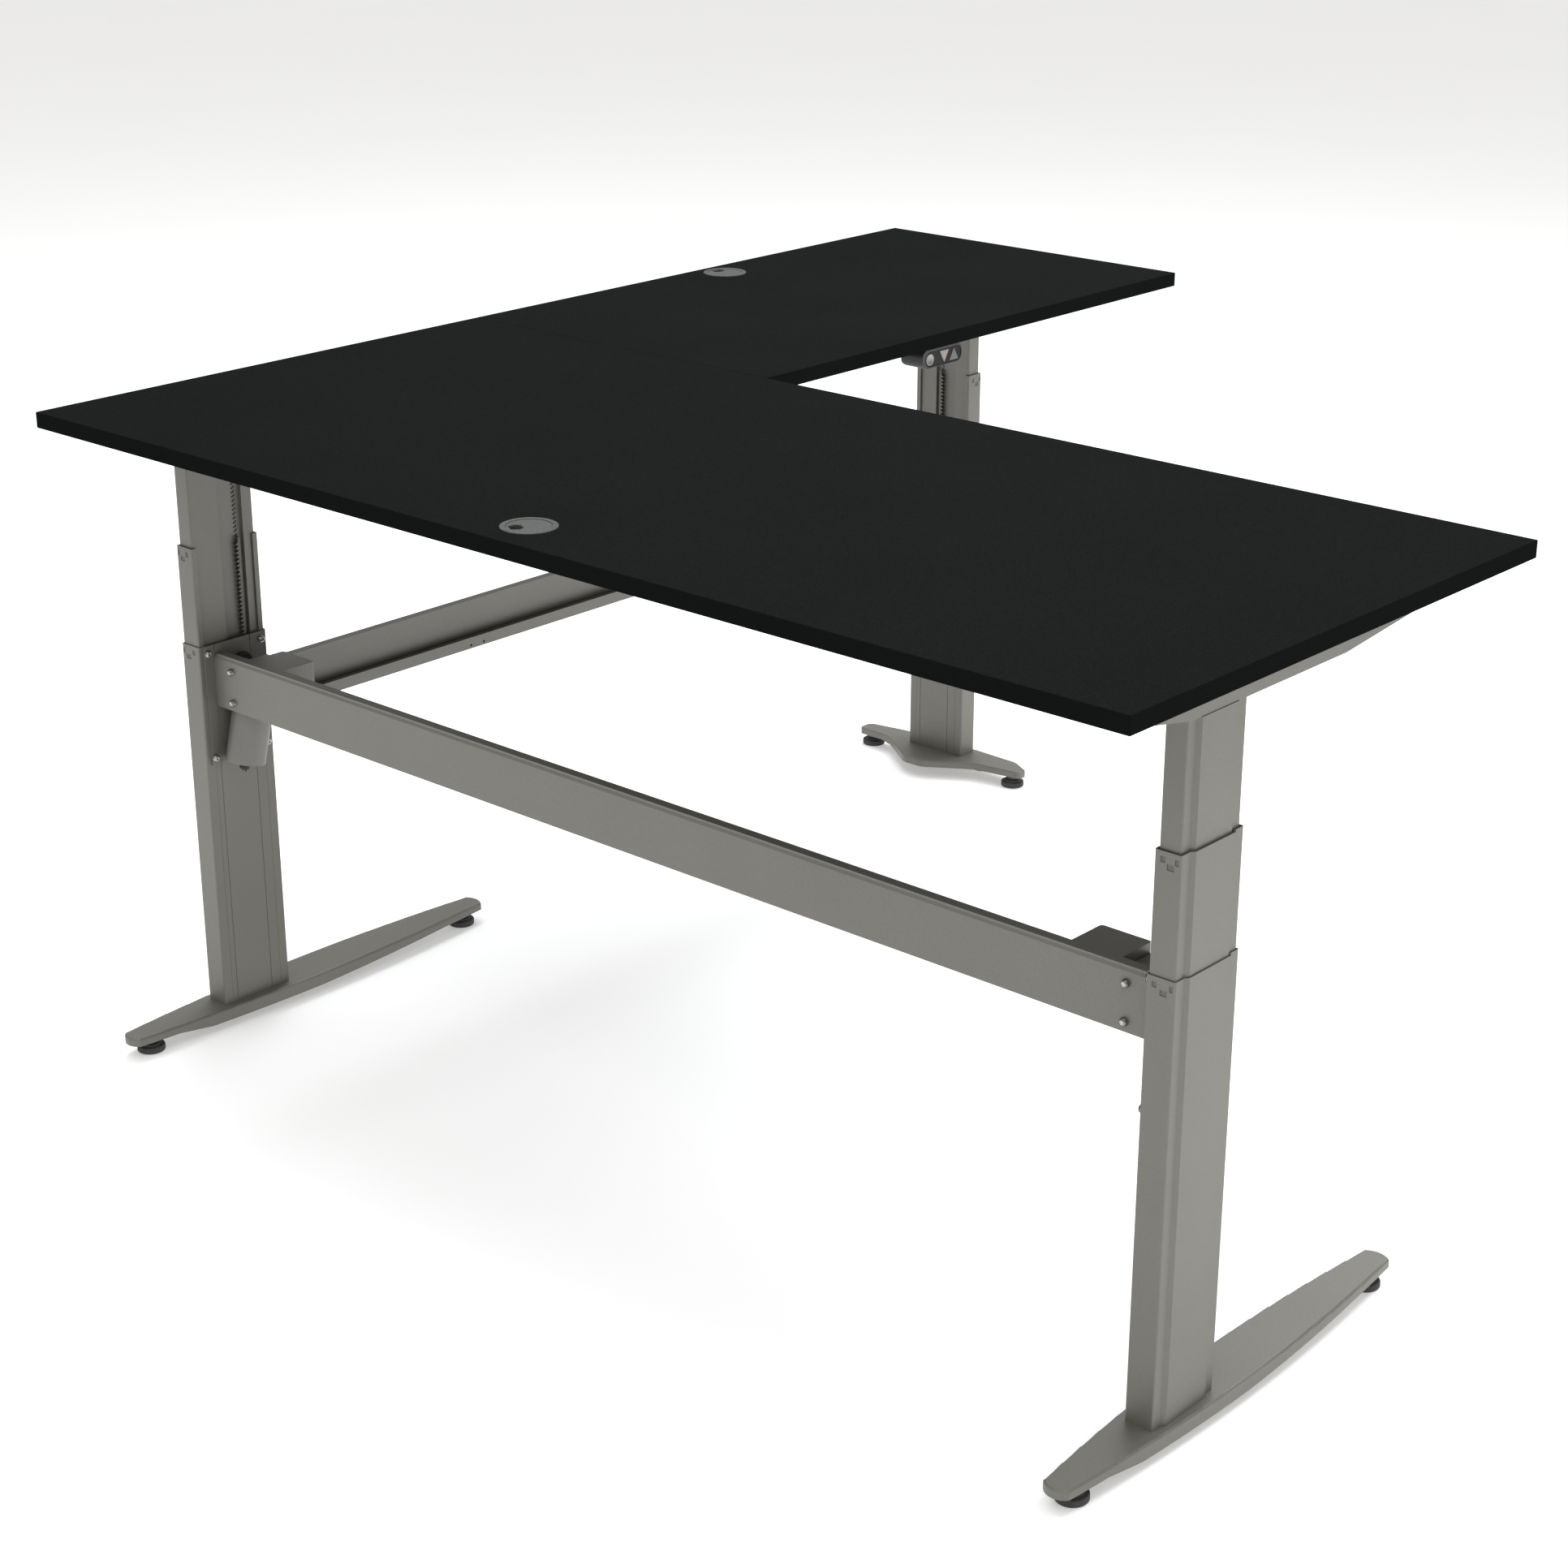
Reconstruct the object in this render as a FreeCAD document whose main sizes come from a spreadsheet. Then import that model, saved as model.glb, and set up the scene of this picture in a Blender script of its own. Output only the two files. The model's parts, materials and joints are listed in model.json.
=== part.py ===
import FreeCAD, Part
import math
import os
import Sketcher
from types import SimpleNamespace

# Height adjustable corner standing desk, in millimetres, +Z up.
# The origin is on the floor, under the middle of the box round both tops.
# The user sits on the +Y side of the main top, inside the corner of the L.

doc = FreeCAD.newDocument("CornerStandingDesk")

# ---------------------------------------------------------------- driving dimensions
DRIVING = [
    ("main_length", 1800, "main top along X"),
    ("main_depth", 800, "main top along Y"),
    ("side_width", 600, "side top along X"),
    ("side_length", 1000, "side top along Y"),
    ("top_thickness", 22, "both tops"),
    ("top_edge_radius", 1.2, "eased edges of the tops"),
    ("column_inset", 67, "main column centre from the end of the main top"),
    ("column_setback", 233.5, "main column centre from the rear edge"),
    ("side_column_inset", 183, "side column centre from the left end"),
    ("side_column_setback", 68, "side column centre from the end of the side top"),
    ("foot_top", 32.4, "height of the top face of the feet"),
    ("foot_tip_thickness", 12, "foot thickness at its tips"),
    ("foot_belly", 19, "foot thickness under the column"),
    ("foot_length", 680, "main foot along Y"),
    ("foot_rear_reach", 222, "rear tip of a main foot behind its column centre"),
    ("foot_half_width", 37, "half width of a main foot at its widest"),
    ("foot_tip_half_width", 18, "half width of a main foot at its tips"),
    ("side_foot_start", 3, "side foot from the left end"),
    ("side_foot_length", 369.5, "side foot along X"),
    ("side_foot_half_width", 24, "half width of the side foot"),
    ("side_foot_lobe", 60, "reach of the side foot's lobe beyond its bar"),
    ("tube_width", 120, "lower tube, wide side"),
    ("tube_depth", 38, "lower tube, narrow side"),
    ("lower_wall", 1.2, "wall of the lower tube"),
    ("tube_wall", 1.8, "wall of the middle and upper tubes"),
    ("lower_gap", 0.7, "room between the lower and middle tubes"),
    ("upper_gap", 1.4, "room between the middle and upper tubes"),
    ("tube_corner", 2.5, "outer corner radius of the tubes"),
    ("panel_rise", 4, "raised panel on the outer face of the tubes"),
    ("panel_margin", 16, "plain strip beside the raised panel"),
    ("panel_slope", 5.3, "width of the sloped step of the raised panel"),
    ("lower_tube_length", 556.6, "lower tube"),
    ("middle_tube_length", 550, "middle tube"),
    ("upper_tube_length", 530, "upper tube"),
    ("middle_show", 144, "middle tube above the lower tube"),
    ("upper_show", 148, "upper tube above the middle tube"),
    ("lower_lip", 15, "inward lip of the lower tube"),
    ("middle_lip", 9, "inward lip of the middle tube"),
    ("arm_height", 45, "support arm"),
    ("arm_wall", 2.5, "support arm sheet"),
    ("arm_half_width", 17, "half width of the support arm's trough"),
    ("arm_flange", 16, "screw flange of the support arm"),
    ("arm_rear_reach", 173, "support arm behind the main column centre"),
    ("arm_front_reach", 487, "support arm in front of the main column centre"),
    ("side_arm_outer_reach", 124, "side support arm towards the left end"),
    ("side_arm_inner_reach", 356, "side support arm towards the right"),
    ("beam_drop", 91, "crossbeams' lower edge below the lower tube's top"),
    ("beam_height", 80, "crossbeam section"),
    ("side_beam_drop", 93, "side crossbeam's lower edge below the lower tube's top"),
    ("side_beam_height", 74.5, "side crossbeam section"),
    ("beam_wall", 2.5, "crossbeam sheet"),
    ("beam_top_flange", 14, "crossbeam upper flange"),
    ("beam_ledge", 20, "crossbeam lower ledge"),
    ("beam_inset", 23.5, "crossbeam web in from the rear of the tube"),
    ("plate_height", 179, "gear plate"),
    ("plate_thickness", 3, "gear plate"),
    ("plate_half_width", 52, "gear plate"),
    ("gearbox_standoff", 20.5, "room between gear plate and gearbox"),
    ("gearbox_length", 38.5, "gearbox along the beam"),
    ("gearbox_drop", 89, "gearbox's lower face below the lower tube's top"),
    ("gearbox_height", 62, "gearbox"),
    ("motor_radius", 28.5, "motor can"),
    ("motor_tilt", 14, "motor axis from the vertical, degrees"),
    ("motor_gap", 1, "room between gear plate and motor can"),
    ("motor_drop", 89, "motor can below the gearbox"),
    ("block_length", 69, "beam block along the beam"),
    ("block_width", 58, "beam block across the beam"),
    ("block_drop", 15, "beam block's top below the lower tube's top"),
    ("gear_module", 2, "rack and pinion"),
    ("pinion_teeth", 12, "pinion"),
    ("pinion_offset", 10, "pinion centre from the column centre"),
    ("pinion_drop", 39, "pinion centre below the lower tube's top"),
    ("rack_thickness", 4.8, "rack bar and pinion face"),
    ("upper_rack_thickness", 1.6, "rack bar of the upper tube"),
    ("shaft_radius", 5, "pinion shafts and cross shaft"),
    ("shaft_clearance", 0.05, "running clearance of the pinion shaft"),
    ("cap_radius", 18, "pinion bearing cap"),
    ("cap_thickness", 8.5, "pinion bearing cap"),
    ("pad_radius", 20.2, "levelling pad"),
    ("stud_radius", 4, "levelling stud"),
    ("free_gap", 0.3, "room between parts that move past each other"),
    ("grommet_hole", 30, "radius of the cable holes"),
    ("grommet_flange", 35, "radius of the grommet flange"),
    ("grommet_setback", 62, "main grommet centre from the rear edge"),
    ("side_grommet_inset", 50, "side grommet centre from the left end"),
    ("side_grommet_reach", 505, "side grommet centre from the seam"),
    ("screw_head", 5.2, "radius of the button heads"),
    ("screw_shank", 2.9, "radius of the screw shanks"),
    ("screw_hole", 3.1, "radius of the screw holes"),
    ("handset_length", 93, "handset along Y"),
    ("handset_depth", 43, "handset under the top"),
    ("handset_height", 28.5, "handset"),
    ("handset_reach", 350, "handset's near end from the seam"),
    ("control_length", 320, "control box along X"),
    ("control_depth", 110, "control box along Y"),
    ("control_height", 32, "control box"),
]


class Size:
    """A length that knows its number and the expression that gives it."""

    def __init__(self, value, text):
        self.value = value
        self.text = text

    @staticmethod
    def of(other):
        return other if isinstance(other, Size) else Size(other, repr(other))

    def __add__(self, other):
        other = Size.of(other)
        return Size(self.value + other.value, f"({self.text} + {other.text})")

    def __sub__(self, other):
        other = Size.of(other)
        return Size(self.value - other.value, f"({self.text} - ({other.text}))")

    def __mul__(self, other):
        other = Size.of(other)
        return Size(self.value * other.value, f"({self.text} * ({other.text}))")

    def __truediv__(self, other):
        other = Size.of(other)
        return Size(self.value / other.value, f"({self.text} / ({other.text}))")

    def __radd__(self, other):
        return Size.of(other) + self

    def __rsub__(self, other):
        return Size.of(other) - self

    def __rmul__(self, other):
        return Size.of(other) * self

    def __neg__(self):
        return Size(-self.value, f"(-({self.text}))")


sheet = doc.addObject("Spreadsheet::Sheet", "Dims")
for row, (alias, value, note) in enumerate(DRIVING, start=1):
    sheet.set(f"A{row}", alias.replace("_", " "))
    sheet.set(f"B{row}", str(value))
    sheet.set(f"C{row}", note)
    sheet.setAlias(f"B{row}", alias)
doc.recompute()
d = SimpleNamespace(**{alias: Size(value, f"Dims.{alias}") for alias, value, _ in DRIVING})

# ---------------------------------------------------------------- levels and places
left = -d.main_length / 2
rear = -(d.main_depth + d.side_length) / 2
seam = rear + d.main_depth
lower_top = d.foot_top + d.lower_tube_length
middle_top = lower_top + d.middle_show
upper_top = middle_top + d.upper_show
underside = upper_top + d.arm_height
desk_top = underside + d.top_thickness
beam_bottom = lower_top - d.beam_drop
beam_top = beam_bottom + d.beam_height
side_beam_bottom = lower_top - d.side_beam_drop
beam_setback = d.tube_width / 2 - d.beam_inset
gearbox_bottom = lower_top - d.gearbox_drop
block_top = lower_top - d.block_drop
pinion_height = lower_top - d.pinion_drop
half_depth = d.tube_depth / 2
plate_face = half_depth + d.plate_thickness
plate_bottom = lower_top - d.plate_height
gearbox_start = plate_face + d.gearbox_standoff
gearbox_end = gearbox_start + d.gearbox_length
block_start = gearbox_end
block_end = block_start + d.block_length
block_side = -beam_setback + d.beam_ledge - 1
pitch_radius = d.gear_module * d.pinion_teeth / 2
addendum = 0.8
dedendum = 1.1
rack_face = half_depth - d.lower_wall - d.lower_gap - d.tube_wall
rack_back = rack_face - d.rack_thickness
groove_floor = rack_back - 0.6 - d.upper_rack_thickness

X_AXIS = FreeCAD.Vector(1, 0, 0)
Y_AXIS = FreeCAD.Vector(0, 1, 0)
Z_AXIS = FreeCAD.Vector(0, 0, 1)
ALONG = {"x": (Y_AXIS, 90), "y": (X_AXIS, -90), "z": (Z_AXIS, 0), "-x": (Y_AXIS, -90),
         "-y": (X_AXIS, 90), "-z": (X_AXIS, 180)}


# ---------------------------------------------------------------- building helpers
def bind(obj, prop, size):
    """Set a property and tie it to the sheet."""
    size = Size.of(size)
    setattr(obj, prop, size.value)
    if "Dims." in size.text:
        obj.setExpression(prop, size.text)


def place(obj, x, y, z, axis=Z_AXIS, angle=0):
    """Put an object at a corner or centre that follows the sheet."""
    corner = [Size.of(size) for size in (x, y, z)]
    rotation = FreeCAD.Rotation(axis, angle)
    obj.Placement = FreeCAD.Placement(FreeCAD.Vector(*[size.value for size in corner]), rotation)
    for name, size in zip("xyz", corner):
        if "Dims." in size.text:
            obj.setExpression(f"Placement.Base.{name}", size.text)
    return obj


def box(x0, x1, y0, y1, z0, z1):
    """A box between two corners."""
    obj = doc.addObject("Part::Box", "Box")
    for prop, low, high in (("Length", x0, x1), ("Width", y0, y1), ("Height", z0, z1)):
        bind(obj, prop, Size.of(high) - low)
    return place(obj, x0, y0, z0)


def cylinder(radius, length, x, y, z, along="z"):
    """A round bar that starts at a point and runs along an axis."""
    obj = doc.addObject("Part::Cylinder", "Cylinder")
    bind(obj, "Radius", radius)
    bind(obj, "Height", length)
    axis, angle = ALONG[along]
    return place(obj, x, y, z, axis, angle)


def cone(radius, top_radius, length, x, y, z, along="z"):
    """A tapered round that starts at a point and runs along an axis."""
    obj = doc.addObject("Part::Cone", "Cone")
    bind(obj, "Radius1", radius)
    bind(obj, "Radius2", top_radius)
    bind(obj, "Height", length)
    axis, angle = ALONG[along]
    return place(obj, x, y, z, axis, angle)


def fuse(*pieces):
    if len(pieces) == 1:
        return pieces[0]
    obj = doc.addObject("Part::MultiFuse", "Fuse")
    obj.Shapes = list(pieces)
    return obj


def group(*pieces):
    """Separate solids that share one node."""
    obj = doc.addObject("Part::Compound", "Group")
    obj.Links = list(pieces)
    return obj


def cut(base, *tools):
    obj = doc.addObject("Part::Cut", "Cut")
    obj.Base = base
    obj.Tool = fuse(*tools)
    return obj


def common(first, second):
    obj = doc.addObject("Part::MultiCommon", "Common")
    obj.Shapes = [first, second]
    return obj


def soften(base, radius, wanted):
    """Round the edges of a boolean result that a test picks."""
    doc.recompute()
    picks = [(index, radius, radius) for index, edge in enumerate(base.Shape.Edges, start=1)
             if wanted(edge)]
    obj = doc.addObject("Part::Fillet", "Soft")
    obj.Base = base
    obj.Edges = picks
    base.Visibility = False
    return obj


def upright(edge):
    """Is this a straight vertical edge?"""
    ends = [vertex.Point for vertex in edge.Vertexes]
    return len(ends) == 2 and abs((ends[1] - ends[0]).normalize().z) > 0.999


def new_body(name):
    return doc.addObject("PartDesign::Body", name)


def sketch_on(body, role):
    plane = next(item for item in body.Origin.OriginFeatures if item.Role == role)
    sketch = body.newObject("Sketcher::SketchObject", "Profile")
    sketch.AttachmentSupport = [(plane, "")]
    sketch.MapMode = "FlatFace"
    return sketch


def hold(sketch, index, end, point):
    """Fix one end of a sketch line at a place that follows the sheet."""
    for kind, size in zip(("DistanceX", "DistanceY"), point):
        size = Size.of(size)
        number = sketch.addConstraint(Sketcher.Constraint(kind, -1, 1, index, end, size.value))
        if "Dims." in size.text:
            sketch.setExpression(f"Constraints[{number}]", size.text)


def outline(sketch, points, bulges=None):
    """Draw a closed outline; a bulge turns the side after a point into an arc of that height."""
    bulges = bulges or {}
    first = sketch.GeometryCount
    total = len(points)
    for index, point in enumerate(points):
        here = FreeCAD.Vector(Size.of(point[0]).value, Size.of(point[1]).value, 0)
        after = points[(index + 1) % total]
        there = FreeCAD.Vector(Size.of(after[0]).value, Size.of(after[1]).value, 0)
        if index in bulges:
            chord = there - here
            side = FreeCAD.Vector(chord.y, -chord.x, 0).normalize()
            middle = (here + there) / 2 + side * bulges[index]
            sketch.addGeometry(Part.Arc(here, middle, there), False)
        else:
            sketch.addGeometry(Part.LineSegment(here, there), False)
    for index, point in enumerate(points):
        edge = sketch.Geometry[first + index]
        start = FreeCAD.Vector(Size.of(point[0]).value, Size.of(point[1]).value, 0)
        forward = (edge.StartPoint - start).Length < 1e-6
        hold(sketch, first + index, 1 if forward else 2, point)
        after = points[(index + 1) % total]
        hold(sketch, first + index, 2 if forward else 1, after)
        if index in bulges:
            radius = sketch.Geometry[first + index].Radius
            sketch.addConstraint(Sketcher.Constraint("Radius", first + index, radius))


def pad(body, sketch, length, reverse=False, midplane=False):
    obj = body.newObject("PartDesign::Pad", "Pad")
    obj.Profile = sketch
    bind(obj, "Length", length)
    obj.Reversed = reverse
    obj.Midplane = midplane
    sketch.Visibility = False
    return obj


def round_off(body, radius, wanted):
    """Round the edges of a body's last feature that a test picks."""
    doc.recompute()
    tip = body.Tip
    names = [f"Edge{index}" for index, edge in enumerate(tip.Shape.Edges, start=1) if wanted(edge)]
    obj = body.newObject("PartDesign::Fillet", "Round")
    obj.Base = (tip, names)
    bind(obj, "Radius", radius)
    return obj


def profile(name, role, points, length, reverse=False, midplane=False, bulges=None):
    """A body made of one outline pushed to a length."""
    body = new_body(name)
    sketch = sketch_on(body, role)
    outline(sketch, points, bulges)
    pad(body, sketch, length, reverse, midplane)
    return body


nodes = []


def node(name, obj):
    """Name a finished sub-part."""
    obj.Label = name
    nodes.append((name, obj))
    return obj


def screw(x, y, z, along, grip):
    """A button-head screw with a socket; its head's underside is at the point given."""
    away = {"x": "-x", "-x": "x", "y": "-y", "-y": "y", "z": "-z", "-z": "z"}[along]
    head = cone(d.screw_head, d.screw_head * 0.6, 2.6, x, y, z, away)
    shank = cylinder(d.screw_shank, grip, x, y, z, along)
    step = {"x": (-1, 0, 0), "-x": (1, 0, 0), "y": (0, -1, 0), "-y": (0, 1, 0),
            "z": (0, 0, -1), "-z": (0, 0, 1)}[along]
    socket = cylinder(1.7, 3, x + 1.2 * step[0], y + 1.2 * step[1], z + 1.2 * step[2], away)
    return cut(fuse(head, shank), socket)


# ---------------------------------------------------------------- columns, in their own axes
# A column is drawn about its own centre line: local +X is its inner, beam side, local Y is its
# wide side. "hand" is 1 or -1 and says to which side the pinion and gearbox lie; "rack_side" is 1
# where the rack lies beyond the pinion and -1 where it lies before it. The right column has no
# motor: the cross shaft brings it the turn of the left one.
class Column:
    def __init__(self, name, x, y, turn, hand, rack_side, has_motor):
        self.name = name
        self.x = x
        self.y = y
        self.turn = turn
        self.hand = hand
        self.rack_side = rack_side
        self.has_motor = has_motor

    def seat(self, obj):
        """Stand a piece drawn in the column's own axes at its place in the desk."""
        return place(obj, self.x, self.y, 0, Z_AXIS, self.turn)

    def across(self, low, high):
        """A stretch of the wide side, on the column's own hand."""
        return (Size.of(low), Size.of(high)) if self.hand > 0 else (-Size.of(high), -Size.of(low))

    def at(self, offset):
        return Size.of(offset) if self.hand > 0 else -Size.of(offset)

    def beside(self, near, far):
        """A stretch of the wide side, measured from the pinion centre towards the rack."""
        ends = [self.at(d.pinion_offset + Size.of(reach) * self.rack_side) for reach in (near, far)]
        return sorted(ends, key=lambda size: size.value)


columns = [
    Column("left", left + d.column_inset, rear + d.column_setback, 0, 1, 1, True),
    Column("right", -left - d.column_inset, rear + d.column_setback, 180, -1, 1, False),
    Column("side", left + d.side_column_inset, -rear - d.side_column_setback, -90, 1, -1, True),
]


def shell_points(half_width, half_thick, wall, lip):
    """The C-shaped section of a tube with a raised outer panel and two lips."""
    inset_width = half_width - wall
    inset_thick = half_thick - wall
    lip_end = half_width - lip

    def flank(width, thick, sign):
        margin = width - d.panel_margin
        panel = margin - d.panel_slope
        run = [(-thick, width), (-thick, margin), (-thick - d.panel_rise, panel)]
        return run if sign > 0 else [(x, -y) for x, y in reversed(run)]

    outer = [(half_thick, lip_end), (half_thick, half_width)]
    outer += flank(half_width, half_thick, 1) + flank(half_width, half_thick, -1)
    outer += [(half_thick, -half_width), (half_thick, -lip_end)]
    inner = [(inset_thick, -lip_end), (inset_thick, -inset_width)]
    inner += [(x, y) for x, y in reversed(flank(inset_width, inset_thick, -1))]
    inner += [(x, y) for x, y in reversed(flank(inset_width, inset_thick, 1))]
    inner += [(inset_thick, inset_width), (inset_thick, lip_end)]
    return outer + inner


def corner_test(half_width, half_thick):
    """Pick the upright edges at the four corners of a tube."""
    def wanted(edge):
        if not upright(edge):
            return False
        spot = edge.Vertexes[0].Point
        return (abs(abs(spot.x) - half_thick.value) < 0.01
                and abs(abs(spot.y) - half_width.value) < 0.01)
    return wanted


def raise_body(body, height):
    """Lift the first sketch of a body to a height above the floor."""
    sketch = body.Group[0] if body.Group[0].TypeId.startswith("Sketcher") else body.Group[1]
    sketch.AttachmentOffset = FreeCAD.Placement(FreeCAD.Vector(0, 0, height.value),
                                                FreeCAD.Rotation())
    sketch.setExpression("AttachmentOffset.Base.z", height.text)


clip_height = 6.8


def clip_places(half_thick):
    """Where the three clips of a glide lie on a narrow face: two at one level, one lower down."""
    reach = half_thick - d.tube_corner - 0.5
    return ((-reach, 4.5 - reach, 6), (reach - 11, reach - 5, 6), (Size.of(-8.5), Size.of(0.5), 13.5))


def clip_slots(half, top):
    """Three small slots at the top of each narrow face, for the glide clips."""
    slots = []
    for x0, x1, drop in clip_places(half[1]):
        slots.append(box(x0, x1, -half[0] - 1, half[0] + 1, top - drop - clip_height, top - drop))
    return slots


lower_half = (d.tube_width / 2, d.tube_depth / 2)
middle_half = tuple(half - d.lower_wall - d.lower_gap for half in lower_half)
upper_half = tuple(half - d.tube_wall - d.upper_gap for half in middle_half)


def open_tube(name, half, wall, lip, bottom, length):
    """A lower or middle tube: a rolled C section with rounded corners and clip slots."""
    half_width, half_thick = half
    body = profile(name, "XY_Plane", shell_points(half_width, half_thick, wall, lip), length)
    raise_body(body, bottom)
    round_off(body, d.tube_corner, corner_test(half_width, half_thick))
    inner = corner_test(half_width - wall, half_thick - wall)
    round_off(body, d.tube_corner - wall, inner)
    return cut(body, *clip_slots(half, bottom + length))


groove_reach = 14


def upper_tube(name, column, bottom, length):
    """The upper tube: closed, with a groove in its inner face for the racks and pinion."""
    half_width, half_thick = upper_half
    wall = d.tube_wall
    groove_low, groove_high = column.beside(-(pitch_radius + d.gear_module + 1.6),
                                            pitch_radius + groove_reach)
    margin = half_width - d.panel_margin
    panel = margin - d.panel_slope

    def ring(shrink):
        front = half_thick - shrink
        back = half_thick - shrink
        return [(front, groove_high + shrink), (front, half_width - shrink),
                (-back, half_width - shrink), (-back, margin - shrink),
                (-back - d.panel_rise, panel - shrink), (-back - d.panel_rise, -panel + shrink),
                (-back, -margin + shrink), (-back, -half_width + shrink),
                (front, -half_width + shrink), (front, groove_low - shrink),
                (groove_floor - shrink, groove_low - shrink),
                (groove_floor - shrink, groove_high + shrink)]

    body = new_body(name)
    sketch = sketch_on(body, "XY_Plane")
    outline(sketch, ring(Size.of(0)))
    outline(sketch, ring(wall))
    pad(body, sketch, length)
    raise_body(body, bottom)
    round_off(body, d.tube_corner, corner_test(half_width, half_thick))
    inner = corner_test(half_width - wall, half_thick - wall)
    round_off(body, d.tube_corner - wall, inner)
    return body


def tooth_points(base, tip, root_half, tip_half, centre=0):
    """One straight-sided tooth that points along +Y of its sketch."""
    return [(centre - root_half, base), (centre + root_half, base),
            (centre + tip_half, tip), (centre - tip_half, tip)]


def pinion(name, column):
    """A pinion of straight-sided teeth with its shaft, about the column's X axis."""
    module = d.gear_module
    body = new_body(name)
    disc = sketch_on(body, "YZ_Plane")
    root = pitch_radius - module * dedendum
    disc.addGeometry(Part.Circle(FreeCAD.Vector(0, 0, 0), Z_AXIS, root.value), False)
    disc.addConstraint(Sketcher.Constraint("Coincident", 0, 3, -1, 1))
    radius = disc.addConstraint(Sketcher.Constraint("Radius", 0, root.value))
    disc.setExpression(f"Constraints[{radius}]", root.text)
    pad(body, disc, d.rack_thickness)
    tooth = sketch_on(body, "YZ_Plane")
    tip = pitch_radius + module * addendum
    outline(tooth, tooth_points(root - 0.8, tip, module * 0.95, module * 0.36))
    pad(body, tooth, d.rack_thickness)
    doc.recompute()
    pattern = body.newObject("PartDesign::PolarPattern", "Teeth")
    pattern.Originals = [body.Group[-2] if body.Group[-1] is pattern else body.Tip]
    pattern.Axis = (disc, ["N_Axis"])
    pattern.Angle = 360
    bind(pattern, "Occurrences", d.pinion_teeth)
    body.Tip = pattern
    # a tooth gap faces up at rest; the quarter turn brings a tooth onto the rack's own gap
    place(body, rack_back, 0, 0)
    shaft_length = gearbox_start + 10 - rack_face
    shaft = cylinder(d.shaft_radius, shaft_length, rack_face, 0, 0, "x")
    turned = fuse(body, shaft)
    turned.Placement = FreeCAD.Placement(FreeCAD.Vector(0, 0, 0),
                                         FreeCAD.Rotation(X_AXIS, 90 * column.hand))
    moved = group(turned)
    place(moved, 0, column.at(d.pinion_offset), pinion_height)
    return group(moved)


def toothed_bar(name, column, depth, thickness, tips, width, bottom, length, first_tooth):
    """An upright rack bar; tips is how far its tooth tips lie from the pinion centre."""
    module = d.gear_module
    pitch = module * math.pi
    root = tips + module * (addendum + dedendum)
    bar = box(depth, depth + thickness, *column.beside(root, tips + width), bottom, bottom + length)
    body = new_body(name)
    tooth = sketch_on(body, "YZ_Plane")
    # the sketch's X is the desk's Y here and its Y is up, so the tooth lies on its side
    tip_line = column.at(d.pinion_offset + tips * column.rack_side)
    root_line = column.at(d.pinion_offset + (root + 0.5) * column.rack_side)
    outline(tooth, [(root_line, -module * 1.22), (tip_line, -module * 0.36),
                    (tip_line, module * 0.36), (root_line, module * 1.22)])
    pad(body, tooth, thickness)
    doc.recompute()
    teeth = math.floor((bottom + length - first_tooth).value / pitch.value)
    pattern = body.newObject("PartDesign::LinearPattern", "Teeth")
    pattern.Originals = [body.Tip]
    pattern.Direction = (tooth, ["V_Axis"])
    pattern.Occurrences = teeth
    bind(pattern, "Length", pitch * (teeth - 1))
    body.Tip = pattern
    place(body, depth, 0, first_tooth)
    return fuse(bar, body)


def rack(name, column, bottom, length):
    """The driven rack, on a foot that spans the middle tube between its lips."""
    pitch = d.gear_module * math.pi
    foot_tall = 14
    half_width = middle_half[0] - d.tube_corner - 0.4
    low, high = column.across(-half_width, half_width)
    foot = box(rack_back, rack_face, low, high, bottom, bottom + foot_tall)
    # half a pitch off the pinion's height, so that a gap meets the pinion's tooth
    gaps = math.floor((pinion_height - bottom - foot_tall - 8).value / pitch.value)
    first_tooth = pinion_height - pitch * (gaps + 0.5)
    bar = toothed_bar(name, column, rack_back, d.rack_thickness,
                      pitch_radius - d.gear_module * addendum, 7.8, bottom, length, first_tooth)
    return fuse(foot, bar)


def upper_rack(column, bottom, length):
    """The rack on the floor of the upper tube's groove, behind the driven one."""
    return toothed_bar(f"upper_rack_{column.name}", column, groove_floor, d.upper_rack_thickness,
                       pitch_radius + 1.8, 7, bottom, length, bottom + 5)


def glides(half_outer, half_inner, wall, top):
    """Plastic pads at the top of a tube, clipped through its narrow faces."""
    pads = []
    for sign in (-1, 1):
        outer = half_outer[0] - wall
        inner = half_inner[0] + d.free_gap
        low, high = (inner, outer) if sign > 0 else (-outer, -inner)
        reach = half_outer[1] - d.tube_corner - 0.3
        strip = box(-reach, reach, low, high, top - 42, top - 2)
        clips = []
        for x0, x1, drop in clip_places(half_outer[1]):
            edge = half_outer[0] - 0.6
            start = outer - 0.2
            y0, y1 = (start, edge) if sign > 0 else (-edge, -start)
            clips.append(box(x0 + 0.2, x1 - 0.2, y0, y1, top - drop - clip_height + 0.2,
                             top - drop - 0.2))
        pads.append(fuse(strip, *clips))
    return pads


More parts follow.
